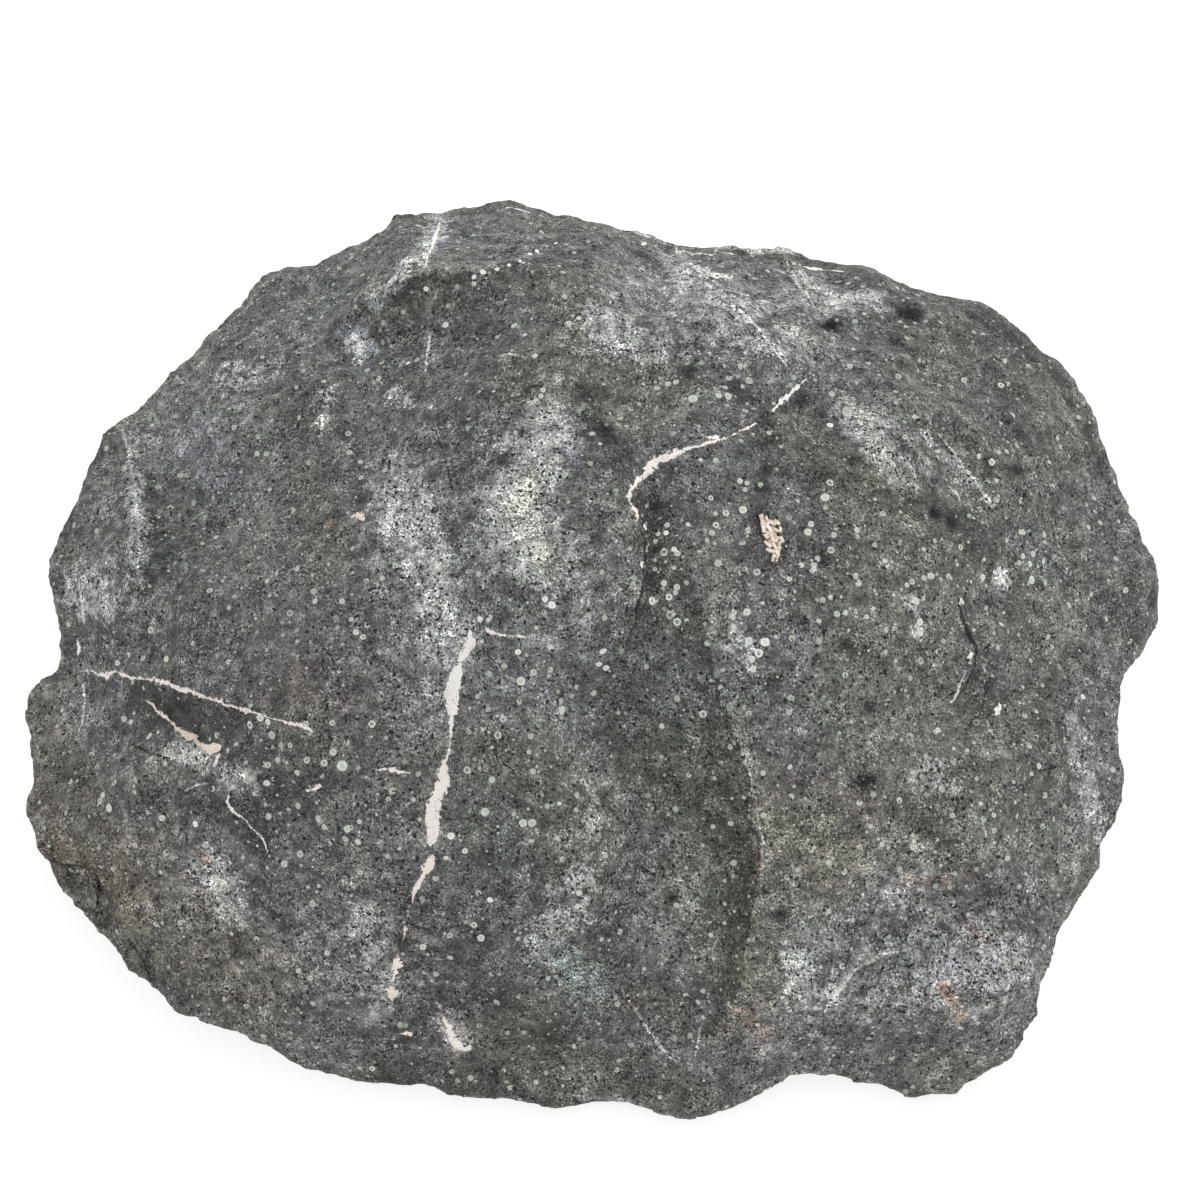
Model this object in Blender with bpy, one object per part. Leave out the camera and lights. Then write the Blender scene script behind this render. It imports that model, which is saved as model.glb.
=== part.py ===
# A closed basalt geode: one rough, domed lump of rock, lying on the small flat spot of its
# broken underside. It grew and broke as one piece, so it is one solid.
#
# The form is laid out with survey marks. Each mark is (across, up, height) in millimetres.
# Across and up are read on the sighting plane, which stands square to a line of sight that
# looks down on the rock from the front; height is measured up from the ground. marked()
# turns a mark into a point in space, so a mark keeps its place in that view whatever its height.

import math

import bmesh
import bpy
from mathutils import Vector, noise
from mathutils.geometry import delaunay_2d_cdt

MM = 0.001

# The line of sight that the marks are read along.
SIGHT_ELEVATION = math.radians(60)
SIGHT_DISTANCE = 1130.0
SIGHT_HEIGHT = 60.0                 # where the line of sight meets the middle of the rock

# Size of the facets, and how the broken surface is roughened.
TOP_FACET = 12.5                    # longest edge on the domed top
UNDER_FACET = 22.0                  # longest edge on the underside
SHORTEST_EDGE = 0.4                 # slivers that the cut leaves are closed up
ROUNDING = 0.42                     # share by which an edge is worn round
LUMP_SIZE, LUMP_DEPTH = 58.0, 5.0
SCOOP_SIZE, SCOOP_DEPTH = 38.0, 4.5
KNOB_SIZE, KNOB_DEPTH = 24.0, 3.6
CHIP_SIZE, CHIP_DEPTH = 12.0, 1.8
SCOOP_LEVEL = 0.3                   # squared distance at which a scoop neither sinks nor rises
UNDER_ROUGHER = 1.5                 # the broken underside is rougher than the dome by this factor
NOISE_ORIGIN = Vector((17.0, 5.0, 31.0))

# The underside: rings inside the outline, as (share of the way out, share of the rim's height
# less a drop). Where a ring dips under the ground, the rock is cut off flat.
UNDER_RINGS = ((0.985, 0.72, 0.0), (0.95, 0.45, 0.5), (0.88, 0.22, 1.0), (0.78, 0.1, 0.5),
               (0.66, 0.03, 1.0), (0.55, 0.0, 5.0), (0.3, 0.0, 8.0))
UNDER_WANDER = 0.05                 # how far a ring wanders in and out, as a share
CALM_HEIGHT = 14.0                  # under this height the roughness dies away to nothing at the ground

# The outline, clockwise from the left lobe under the notch.
OUTLINE = (
    (-230, -46, 40), (-227, -34, 44), (-216, -27, 50), (-217, -6, 58), (-221, 10, 62), (-210, 41, 70),
    (-198, 67, 74), (-184, 75, 78), (-172, 91, 80), (-160, 100, 82), (-134, 130, 84), (-110, 136, 86),
    (-87, 148, 88), (-82, 153, 88), (-64, 155, 88), (-40, 160, 88), (-16, 153, 85), (4, 151, 84),
    (29, 142, 81), (57, 140, 80), (67, 141, 80), (100, 135, 80), (111, 132, 80), (121, 125, 80),
    (156, 116, 80), (174, 100, 78), (188, 89, 76), (198, 72, 74), (205, 47, 70), (221, 16, 60),
    (224, 7, 58), (223, -5, 56), (208, -35, 56), (207, -58, 54), (210, -71, 50), (206, -89, 46),
    (199, -98, 46), (200, -106, 42), (182, -135, 34), (175, -161, 24), (160, -186, 12), (140, -198, 8),
    (122, -197, 8), (105, -193, 10), (81, -188, 14), (55, -202, 8), (31, -206, 7), (13, -201, 8),
    (-1, -200, 8), (-17, -204, 8), (-36, -199, 10), (-55, -200, 10), (-73, -193, 12), (-96, -192, 12),
    (-120, -186, 16), (-145, -172, 20), (-166, -166, 22), (-181, -156, 26), (-199, -135, 30),
    (-210, -118, 34), (-220, -111, 34), (-226, -98, 38), (-229, -84, 40), (-226, -64, 42),
)

# Edges of the domed top: each is a run of marks that no facet crosses.
EDGES = {
    "crest": ((-92, 120, 128), (-72, 130, 140), (-49, 131, 146), (-26, 136, 148), (0, 142, 136)),
    "crest foot": ((-86, 102, 124), (-68, 108, 130), (-48, 106, 137), (-30, 115, 143)),
    "step top": ((-9, 87, 160), (1, 72, 160), (9, 57, 158), (13, 34, 156), (16, 20, 152), (14, 3, 146),
                 (11, -7, 140), (7, -19, 134)),
    "step foot": ((-6, 89, 157), (5, 74, 157), (14, 58, 154), (18, 32, 149), (21, 19, 144), (20, 2, 138),
                  (16, -9, 131), (11, -22, 125)),
    "trough": ((3, -36, 117), (4, -58, 106), (10, -80, 94), (17, -108, 77), (25, -140, 54), (34, -172, 30)),
    "main ridge": ((32, 40, 152), (35, 18, 148), (44, -24, 134), (52, -48, 122), (57, -60, 116),
                   (62, -80, 106), (65, -95, 97), (63, -112, 86), (59, -138, 66), (57, -154, 54),
                   (40, -184, 26)),
    "ridge foot": ((46, -64, 108), (51, -80, 98), (54, -96, 88), (52, -112, 77), (48, -136, 60),
                   (46, -154, 46)),
    "rise top": ((-46, 64, 151), (-47, 24, 151), (-46, -12, 147)),
    "rise foot": ((-55, 64, 146), (-56, 24, 145), (-54, -12, 142)),
    "ledge top": ((142, 8, 117), (146, -11, 110), (150, -21, 106), (148, -27, 102), (141, -41, 97)),
    "ledge foot": ((145, 7, 112), (150, -12, 103), (153, -22, 98), (152, -29, 95), (145, -42, 92)),
    "left rim": ((-193, 68, 84), (-188, 48, 92), (-186, 30, 98), (-184, 15, 100)),
    "vein ledge": ((-206, -28, 66), (-185, -32, 88), (-164, -36, 104), (-143, -44, 113), (-116, -51, 122)),
    "vein recess": ((-196, -39, 66), (-176, -45, 80), (-158, -49, 92), (-142, -55, 103)),
    "band top": ((-74, -138, 74), (-52, -147, 66), (-28, -156, 56), (-10, -172, 40), (0, -188, 22)),
    "band foot": ((-68, -160, 44), (-44, -166, 38), (-26, -176, 28), (-16, -190, 14)),
    "groove": ((80, -66, 109), (108, -80, 98), (132, -94, 85), (146, -111, 72), (172, -126, 54)),
    "shelf corner": ((96, -160, 42), (112, -140, 56), (132, -122, 67)),
    "shelf edge": ((104, -168, 37), (132, -165, 46), (160, -160, 43), (172, -144, 45)),
    "shelf foot": ((108, -182, 18), (134, -184, 18), (160, -178, 20)),
}

# Loose marks between those edges, by the part of the dome that they shape.
FACES = {
    "plateau": ((-60, 76, 147), (-32, 80, 154), (-16, 52, 160), (-34, 40, 155), (-16, 16, 156), (0, 104, 154),
                (20, 108, 148), (24, 68, 157), (40, 72, 158), (64, 60, 152)),
    "upper left": ((-120, 108, 112), (-148, 80, 106), (-108, 72, 128), (-160, 52, 98), (-120, 32, 124),
                   (-80, 64, 140)),
    "upper right": ((120, 80, 130), (92, 108, 130), (123, 113, 112), (64, 108, 142), (40, 120, 142),
                    (104, 124, 116), (144, 100, 106), (172, 80, 100), (64, 86, 146)),
    "left hollow": ((-174, 48, 94), (-170, 28, 97), (-166, 12, 102)),
    "left dome": ((-140, 16, 118), (-120, -8, 130), (-160, -8, 110), (-188, -12, 88), (-88, 16, 140),
                  (-88, -32, 130), (-108, -72, 112), (-144, -76, 96), (-180, -72, 76), (-204, -72, 60),
                  (-188, -104, 58), (-160, -108, 70), (-124, -112, 84), (-88, -104, 98), (-56, -56, 126),
                  (-52, -96, 104), (-88, -144, 72), (-124, -148, 60), (-156, -140, 46), (-192, -128, 42),
                  (-108, -172, 36), (-140, -160, 36)),
    "middle": ((-24, -24, 140), (-24, -64, 120), (-24, -104, 98), (-4, -120, 82), (-4, -92, 102)),
    "right plane": ((64, 24, 147), (104, 48, 138), (80, -16, 133), (104, 0, 131), (100, -40, 118),
                    (132, -8, 116), (120, 24, 128), (80, -88, 100), (132, -64, 99), (100, -104, 84),
                    (80, -136, 66), (160, -92, 79), (72, -160, 48)),
    "right edge": ((160, 72, 112), (176, 48, 102), (176, 16, 94), (184, -20, 82), (176, -56, 78),
                   (196, 8, 80), (176, -88, 66)),
}

BASALT_COLOUR = (0.155, 0.157, 0.145, 1.0)
BASALT_ROUGHNESS = 0.9


def clear_scene():
    for item in list(bpy.data.objects):
        bpy.data.objects.remove(item, do_unlink=True)


# The point in space, in millimetres, that a survey mark stands for.
def marked(across, up, height):
    ahead = Vector((0.0, math.cos(SIGHT_ELEVATION), -math.sin(SIGHT_ELEVATION)))
    upward = Vector((0.0, math.sin(SIGHT_ELEVATION), math.cos(SIGHT_ELEVATION)))
    eye = Vector((0.0, 0.0, SIGHT_HEIGHT)) - SIGHT_DISTANCE * ahead
    ray = SIGHT_DISTANCE * ahead + across * Vector((1.0, 0.0, 0.0)) + up * upward
    return eye + ray * ((height - eye.z) / ray.z)


# The domed top: every mark joined into triangles as it is seen along the line of sight.
def add_top(shape, rim):
    marks = list(OUTLINE)
    fixed = [(i, (i + 1) % len(OUTLINE)) for i in range(len(OUTLINE))]
    for run in EDGES.values():
        first = len(marks)
        marks += run
        fixed += [(i, i + 1) for i in range(first, len(marks) - 1)]
    for spots in FACES.values():
        marks += spots
    flat = [Vector(mark[:2]) for mark in marks]
    points, _, faces, sources, _, _ = delaunay_2d_cdt(flat, fixed, [], 1, 0.01)
    corners = []
    for point, source in zip(points, sources):
        if source and source[0] < len(OUTLINE):
            corners.append(rim[source[0]])
        else:
            corners.append(shape.verts.new(marked(*marks[source[0]])))
    return [shape.faces.new([corners[i] for i in face]) for face in faces]


# The underside: rings that step in and down from the outline, closed by a fan in the middle.
def add_underside(shape, rim):
    centre = sum((corner.co for corner in rim), Vector()) / len(rim)
    faces, outer = [], rim
    for share, kept, drop in UNDER_RINGS:
        inner = []
        for corner in rim:
            wander = UNDER_WANDER * noise.noise(share * corner.co / LUMP_SIZE - NOISE_ORIGIN)
            spot = centre.lerp(corner.co, share + wander)
            inner.append(shape.verts.new((spot.x, spot.y, corner.co.z * kept - drop)))
        for i, corner in enumerate(rim):
            j = (i + 1) % len(rim)
            faces.append(shape.faces.new((outer[i], outer[j], inner[j], inner[i])))
        outer = inner
    middle = shape.verts.new((centre.x, centre.y, outer[0].co.z))
    for i in range(len(rim)):
        faces.append(shape.faces.new((outer[i], outer[(i + 1) % len(rim)], middle)))
    return faces


# Splits the longest edges, pass by pass, until none is longer than its side of the rock allows.
def refine(shape, under_tag):
    def allowed(edge):
        under = all(face[under_tag] for face in edge.link_faces)
        return UNDER_FACET if under else TOP_FACET

    while True:
        long_edges = [edge for edge in shape.edges if edge.calc_length() > allowed(edge)]
        if not long_edges:
            return
        longest = max(edge.calc_length() for edge in long_edges)
        now = [edge for edge in long_edges if edge.calc_length() > 0.6 * longest]
        bmesh.ops.subdivide_edges(shape, edges=now, cuts=1)
        bmesh.ops.triangulate(shape, faces=[face for face in shape.faces if len(face.verts) > 3])


# The broken surface: seeded noise along the normal. Lumps, knobs and chips are soft noise at three
# sizes, and the scoops are shallow bowls that meet in sharp little ridges, as flakes leave. The
# outline is surveyed closely enough to need only the chips.
def roughen(shape, outline_tag, under_tag):
    shape.normal_update()
    moves = []
    for vert in shape.verts:
        lump = LUMP_DEPTH * noise.noise(vert.co / LUMP_SIZE + NOISE_ORIGIN)
        knob = KNOB_DEPTH * noise.noise(vert.co / KNOB_SIZE + 2 * NOISE_ORIGIN)
        chip = CHIP_DEPTH * noise.noise(vert.co / CHIP_SIZE + 3 * NOISE_ORIGIN)
        nearest = noise.voronoi(vert.co / SCOOP_SIZE + NOISE_ORIGIN)[0][0]
        scoop = SCOOP_DEPTH * (nearest * nearest - SCOOP_LEVEL)
        depth = (lump + knob + scoop) * (1.0 - vert[outline_tag]) + chip
        if all(face[under_tag] for face in vert.link_faces):
            depth *= UNDER_ROUGHER
        moves.append(vert.normal * depth * min(1.0, max(0.0, vert.co.z / CALM_HEIGHT)))
    for vert, move in zip(shape.verts, moves):
        vert.co += move


# Cuts the rock off flat at the ground, which leaves the flat spot that it rests on.
def cut_base(shape):
    whole = list(shape.verts) + list(shape.edges) + list(shape.faces)
    cut = bmesh.ops.bisect_plane(shape, geom=whole, dist=0.01, plane_co=(0, 0, 0), plane_no=(0, 0, 1),
                                 clear_inner=True)
    rim = [item for item in cut["geom_cut"] if isinstance(item, bmesh.types.BMEdge)]
    bmesh.ops.contextual_create(shape, geom=rim)
    bmesh.ops.dissolve_degenerate(shape, edges=shape.edges, dist=SHORTEST_EDGE)
    bmesh.ops.triangulate(shape, faces=shape.faces)


# Moves the origin to the middle of the box's underside, and turns millimetres into metres.
def settle(shape):
    low = Vector([min(vert.co[axis] for vert in shape.verts) for axis in range(3)])
    high = Vector([max(vert.co[axis] for vert in shape.verts) for axis in range(3)])
    origin = Vector(((low.x + high.x) / 2, (low.y + high.y) / 2, low.z))
    print("origin moved by", tuple(round(value, 1) for value in origin), "size", tuple(high - low))
    bmesh.ops.translate(shape, verts=shape.verts, vec=-origin)
    bmesh.ops.scale(shape, verts=shape.verts, vec=(MM, MM, MM))


def basalt():
    finish = bpy.data.materials.new("basalt")
    finish.use_nodes = True
    shader = finish.node_tree.nodes["Principled BSDF"]
    shader.inputs["Base Color"].default_value = BASALT_COLOUR
    shader.inputs["Roughness"].default_value = BASALT_ROUGHNESS
    shader.inputs["Metallic"].default_value = 0.0
    return finish


def build_rock():
    shape = bmesh.new()
    under_tag = shape.faces.layers.int.new("underside")
    outline_tag = shape.verts.layers.float.new("outline")
    rim = [shape.verts.new(marked(*mark)) for mark in OUTLINE]
    for corner in rim:
        corner[outline_tag] = 1.0
    add_top(shape, rim)
    for face in add_underside(shape, rim):
        face[under_tag] = 1
    bmesh.ops.triangulate(shape, faces=shape.faces)
    bmesh.ops.recalc_face_normals(shape, faces=shape.faces)
    refine(shape, under_tag)
    inside = [vert for vert in shape.verts if vert[outline_tag] < 0.99]
    bmesh.ops.smooth_vert(shape, verts=inside, factor=ROUNDING, use_axis_x=True, use_axis_y=True,
                          use_axis_z=True)
    roughen(shape, outline_tag, under_tag)
    cut_base(shape)
    settle(shape)
    bmesh.ops.recalc_face_normals(shape, faces=shape.faces)
    mesh = bpy.data.meshes.new("basalt_rock")
    shape.to_mesh(mesh)
    shape.free()
    mesh.materials.append(basalt())
    return bpy.data.objects.new("basalt_rock", mesh)


def main():
    clear_scene()
    collection = bpy.data.collections.new("apophyllite_geode")
    bpy.context.scene.collection.children.link(collection)
    collection.objects.link(build_rock())


main()
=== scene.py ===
import math
import random

import bmesh
import bpy
import numpy as np
from mathutils import Matrix, Vector, noise
from mathutils.bvhtree import BVHTree


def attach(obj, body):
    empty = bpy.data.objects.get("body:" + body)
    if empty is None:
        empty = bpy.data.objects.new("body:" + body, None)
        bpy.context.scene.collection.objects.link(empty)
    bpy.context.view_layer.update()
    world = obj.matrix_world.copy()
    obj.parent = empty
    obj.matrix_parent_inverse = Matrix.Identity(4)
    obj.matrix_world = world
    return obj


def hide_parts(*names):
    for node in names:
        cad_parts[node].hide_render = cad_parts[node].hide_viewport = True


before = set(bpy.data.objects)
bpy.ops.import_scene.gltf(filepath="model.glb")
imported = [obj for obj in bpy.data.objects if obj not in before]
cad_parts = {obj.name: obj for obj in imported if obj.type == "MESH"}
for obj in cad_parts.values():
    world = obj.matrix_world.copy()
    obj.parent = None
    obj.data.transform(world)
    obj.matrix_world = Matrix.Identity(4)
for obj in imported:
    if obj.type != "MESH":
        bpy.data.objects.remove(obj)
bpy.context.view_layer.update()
mm = 0.001

# The camera looks down on the dome from the front. Places on the rock are given as pixels of
# that 1200 by 1200 view, and are found by looking along the pixel's ray.
view = {
    "elevation": 60.0,                       # degrees above the floor
    "distance": 1.13,                        # from the point it aims at, in metres
    "aim": (0.0023, 0.0088, 0.060),
    "lens": 84.75,
    "sensor": 36.0,
    "pixels": 1200,
    "missStep": 0.01, "missSteps": 25,       # metres, and steps to each side, tried on a ray that misses
}
pixelSize = 0.4                              # mm of rock in one pixel


def viewAxes():
    tilt = math.radians(view["elevation"])
    ahead = Vector((0.0, math.cos(tilt), -math.sin(tilt)))
    upward = Vector((0.0, math.sin(tilt), math.cos(tilt)))
    eye = Vector(view["aim"]) - view["distance"] * ahead
    return eye, ahead, upward


def makeCamera():
    eye, ahead, _ = viewAxes()
    data = bpy.data.cameras.new("camera")
    data.lens = view["lens"]
    data.sensor_width = view["sensor"]
    camera = bpy.data.objects.new("camera", data)
    camera.location = eye
    camera.rotation_euler = ahead.to_track_quat("-Z", "Y").to_euler()
    bpy.context.scene.collection.objects.link(camera)
    bpy.context.scene.camera = camera


def pixelRay(across, down):
    eye, ahead, upward = viewAxes()
    perPixel = view["sensor"] / view["lens"] / view["pixels"]
    half = view["pixels"] / 2
    ray = ahead + (across - half) * perPixel * Vector((1, 0, 0)) + (half - down) * perPixel * upward
    return eye, ray.normalized()


makeCamera()
print("camera ready")

# The rock's fine surface, grown from the CAD solid. Sizes and heights are in mm.
rockSizes = {
    "weld": 0.01,
    "voxel": 2.0,
    "smoothing": 6, "smoothShare": 0.5,
    "bumps": [(16.0, 1.2), (7.0, 0.9), (3.2, 0.7)],      # (size, height)
    "scoops": [(19.0, 1.6), (8.5, 1.0)],                 # (size, depth)
    "scoopLevel": 0.3,                                   # squared distance at which a scoop is level
    "stepSpacing": 9.0, "stepHeight": 1.1,
    "stepSlope": (0.25, -0.55, 0.8),                     # square to the layers
    "stepWave": (45.0, 1.6),                             # (size, height in layers)
    "stepPatch": 30.0, "stepPatchEdge": (-0.05, 0.25),   # where there are steps at all
    "stepRise": 0.85, "stepDrop": 0.88, "stepLevel": 0.4,      # shares of a layer and of its height
    "baseFlat": 0.6,                                     # below this the underside is level
    "calmHeight": 12.0,                                  # below this the roughness dies away
    "swell": 0.6,                                        # makes up for what the smoothing takes off
}

# Broken edges: runs of (across, down, rise in mm), and how many mm the rise reaches to the left and
# to the right hand of someone who follows the run. A short reach makes a sharp drop. Each side gets a
# painted tone: mostly painted light on the lit side and painted shade on the shaded side, with some dust:
# (tone, reach in mm) for each hand, where a tone of 1 is twice as light.
edges = {
    "mainRidge": {"reach": (14, 3), "tones": ((0.4, 6), (-0.7, 9)), "run": [(688, 554, 0.3), (698, 592, 0.8),
        (710, 659, 1.2), (729, 720, 1.7), (742, 749, 1.9), (752, 787, 2.1), (755, 819, 2.1), (763, 838, 1.9),
        (761, 867, 1.8), (755, 899, 1.7), (747, 946, 1.7), (745, 978, 1.4), (722, 1020, 0.9),
        (690, 1060, 0.4)]},
    "step": {"reach": (0.8, 8), "tones": ((-0.7, 6), (0.1, 5)), "run": [(629, 500, 0.4), (638, 519, 0.9),
        (646, 551, 1.2), (642, 592, 1.3), (634, 618, 1.1), (624, 647, 0.5)]},
    "rightLedge": {"reach": (1.2, 12), "tones": ((-1.2, 5), (0.15, 8)), "run": [(957, 589, 0.8),
        (965, 628, 2.4), (974, 650, 2.8), (971, 666, 2.5), (955, 698, 1)]},
    "bloomLedge": {"reach": (10, 1), "tones": ((0.15, 6), (-0.5, 4)), "run": [(582, 412, 0.6), (598, 422, 1.3),
        (610, 430, 1.5), (624, 442, 1.4), (638, 456, 0.8)]},
    "crest": {"reach": (8, 2), "tones": ((0.4, 6), (-0.6, 7)), "run": [(370, 300, 0.8), (421, 276, 1.2),
        (478, 272, 1.2), (536, 260, 1), (563, 255, 0.9), (600, 245, 0.6)]},
    "veinLedge": {"reach": (10, 1), "tones": ((0.1, 6), (-0.6, 6)), "run": [(100, 677, 0.5), (140, 679, 1.3),
        (180, 690, 1.8), (222, 702, 1.3), (260, 715, 0.4)]},
    "branchEdge": {"reach": (1.2, 8), "tones": ((-0.3, 4), (0.2, 5)), "run": [(145, 701, 0.3), (172, 723, 1),
        (198, 744, 1.2), (220, 760, 0.6)]},
    "leftRim": {"reach": (8, 2), "tones": ((0.3, 5), (0.1, 5)), "run": [(126, 425, 0.8), (134, 524, 1.4),
        (140, 560, 0.9)]},
    "lowLedge": {"reach": (6, 1), "tones": ((0.1, 5), (-0.3, 4)), "run": [(140, 980, 0.5), (200, 990, 1),
        (260, 1000, 0.5)]},
    "lobeTop": {"reach": (10, 3), "tones": ((0.15, 8), (-0.5, 6)), "run": [(790, 1010, 0.6), (850, 1000, 1.5),
        (930, 1008, 1.6), (1000, 1015, 0.7)]},
    "groove": {"reach": (6, 6), "tones": ((-0.4, 5), (-0.4, 5)), "run": [(800, 760, -0.5), (870, 790, -1.4),
        (930, 830, -2), (965, 870, -2.2), (1035, 915, -0.9)]},
    "lightStreak": {"reach": (4, 4), "tones": ((0.3, 4), (0.3, 4)), "run": [(595, 790, 0.3), (590, 850, 0.8),
        (582, 900, 0.4)]},
    "topDiagonal": {"reach": (6, 1), "tones": ((0.35, 5), (-0.3, 3)), "run": [(674, 250, 0.8), (686, 266, 1.2),
        (720, 300, 1.4), (749, 325, 1.2), (779, 350, 0.6)]},
    "topSecond": {"reach": (6, 1), "tones": ((0.3, 5), (-0.25, 3)), "run": [(787, 262, 0.6), (813, 300, 1),
        (829, 317, 0.6)]},
    "ridgeSpur": {"reach": (8, 1), "tones": ((0.2, 5), (-0.5, 6)), "run": [(712, 812, 0.5), (728, 818, 1.2),
        (744, 828, 1.4), (756, 842, 0.8)]},
    "lobeStreak": {"reach": (5, 2), "tones": ((0.2, 4), (-0.5, 6)), "run": [(825, 1012, 0.8), (840, 988, 1.4),
        (858, 967, 1.4), (886, 954, 1.2), (920, 948, 0.6)]},
    "rightFacet": {"reach": (1.5, 8), "tones": ((-0.4, 6), (0.2, 5)), "run": [(1040, 690, 0.5),
        (1052, 720, 1.4), (1060, 760, 1.4), (1066, 790, 0.5)]},
    "topHollow": {"reach": (1.5, 5), "tones": ((-0.7, 4), (0.3, 4)), "run": [(862, 322, 0.5), (842, 318, 1.2),
        (815, 322, 1.2), (796, 334, 0.5)]},
    "longCrack": {"reach": (1.2, 1.2), "tones": ((-0.3, 3), (-0.3, 3)), "run": [(412, 902, -0.3),
        (404, 930, -1.2), (398, 955, -0.5)]},
}
edgeFade = {
    "ends": 4.0,                 # mm beyond the ends of a run
    "fullTone": 1.5,             # one over the share of the greatest rise that gets the full tone
    "near": 30.0, "far": 50.0,   # mm within which an edge counts, and the side where none does
}
# Places where the rock stands out a little, or less: (across, down, radius in mm, rise in mm).
swells = [
    (672, 1112, 14, 2.6), (713, 1108, 14, 1.2), (215, 1022, 14, 2.4), (26, 800, 10, 1.6), (210, 331, 12, 2),
    (272, 271, 14, 1.6), (993, 313, 18, 3), (1068, 375, 16, 2.6), (1108, 461, 14, 1.6), (928, 1091, 22, 1.4),
    (1136, 650, 10, -4.6), (1029, 1018, 12, -3.6), (134, 968, 14, -6.6), (100, 932, 10, -2.8),
    (72, 891, 14, -8.6), (84, 884, 14, -3.5), (60, 878, 10, -3), (300, 1063, 12, -1.6), (608, 228, 18, -1.6),
    (814, 262, 10, -1.6), (181, 364, 10, -1.4), (64, 505, 16, 1.2), (38, 690, 10, 1.2), (158, 992, 8, 1.4),
    (868, 276, 14, 1), (370, 1082, 12, 1.2),
]
# Holes left by gas: (across, down, radius in mm, depth in mm).
pits = [
    (908, 312, 5.5, 4.5), (830, 328, 4, 3.5), (888, 300, 3, 1.5), (935, 512, 3, 2), (965, 522, 4, 2),
    (182, 1000, 2.5, 1.5), (575, 238, 2, 1),
]


def soften(value, low, high):
    t = np.clip((value - low) / (high - low), 0.0, 1.0)
    return t * t * (3.0 - 2.0 * t)


# Each seed reads the noise in a place of its own.
def noiseShift(seed):
    return Vector((seed * 3.1, seed * 7.7, seed * 1.3))


def softNoise(points, size, seed):
    shift, scale = noiseShift(seed), 1.0 / (size * mm)
    return np.array([noise.noise(Vector(p) * scale + shift) for p in points])


def scoopNoise(points, size, seed):
    shift, scale = noiseShift(seed), 1.0 / (size * mm)
    return np.array([noise.voronoi(Vector(p) * scale + shift)[0][0] for p in points]) ** 2


def readPoints(mesh):
    points = np.zeros(len(mesh.vertices) * 3)
    mesh.vertices.foreach_get("co", points)
    normals = np.zeros(len(mesh.vertices) * 3, dtype=np.float32)
    mesh.vertex_normals.foreach_get("vector", normals)
    return points.reshape(-1, 3), normals.reshape(-1, 3).astype(float)


def movePoints(mesh, points):
    mesh.vertices.foreach_set("co", points.ravel())
    mesh.update()


def writeValues(mesh, name, values):
    layer = mesh.attributes.new(name, "FLOAT", "POINT")
    layer.data.foreach_set("value", np.ascontiguousarray(values, dtype=np.float32))


def linkNew(name, data):
    thing = bpy.data.objects.new(name, data)
    bpy.context.scene.collection.objects.link(thing)
    return thing


def makeRock():
    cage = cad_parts["basalt_rock"].data.copy()
    shape = bmesh.new()
    shape.from_mesh(cage)
    bmesh.ops.remove_doubles(shape, verts=shape.verts, dist=rockSizes["weld"] * mm)
    shape.to_mesh(cage)
    shape.free()
    rough = linkNew("rough", cage)
    fine = rough.modifiers.new("fine", "REMESH")
    fine.mode = "VOXEL"
    fine.voxel_size = rockSizes["voxel"] * mm
    worn = rough.modifiers.new("worn", "SMOOTH")
    worn.factor = rockSizes["smoothShare"]
    worn.iterations = rockSizes["smoothing"]
    mesh = bpy.data.meshes.new_from_object(rough.evaluated_get(bpy.context.evaluated_depsgraph_get()))
    bpy.data.objects.remove(rough)
    mesh.name = "rock"
    return linkNew("rock", mesh)


def roughenRock(rock):
    points, normals = readPoints(rock.data)
    height = np.zeros(len(points))
    for seed, (size, rise) in enumerate(rockSizes["bumps"], start=1):
        height += rise * softNoise(points, size, seed)
    for seed, (size, depth) in enumerate(rockSizes["scoops"], start=5):
        height += depth * (scoopNoise(points, size, seed) - rockSizes["scoopLevel"])
    # little ledges, where the basalt broke in layers
    layers = points @ np.array(rockSizes["stepSlope"]) / (rockSizes["stepSpacing"] * mm)
    waveSize, waveHeight = rockSizes["stepWave"]
    layers += waveHeight * softNoise(points, waveSize, seed=8)
    within = layers - np.floor(layers)
    patchy = soften(softNoise(points, rockSizes["stepPatch"], seed=9), *rockSizes["stepPatchEdge"])
    ledge = soften(within, 0.0, rockSizes["stepRise"]) - soften(within, rockSizes["stepDrop"], 1.0)
    height += rockSizes["stepHeight"] * patchy * (ledge - rockSizes["stepLevel"])
    height = (height + rockSizes["swell"]) * soften(points[:, 2], 0.0, rockSizes["calmHeight"] * mm)
    points += normals * (height * mm)[:, None]
    points[:, 2] = np.where(points[:, 2] < rockSizes["baseFlat"] * mm, 0.0, points[:, 2])
    movePoints(rock.data, points)


def makeSight(rock):
    shape = bmesh.new()
    shape.from_mesh(rock.data)
    tree = BVHTree.FromBMesh(shape)
    shape.free()
    return tree


def spotOn(tree, across, down):
    eye, ray = pixelRay(across, down)
    hit = tree.ray_cast(eye, ray)
    if hit[0] is None:
        tries = range(-view["missSteps"], view["missSteps"] + 1)
        near = [tree.find_nearest(eye + ray * (view["distance"] + step * view["missStep"])) for step in tries]
        hit = min(near, key=lambda found: found[3])      # the nearest of them
    return np.array(hit[0])


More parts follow.
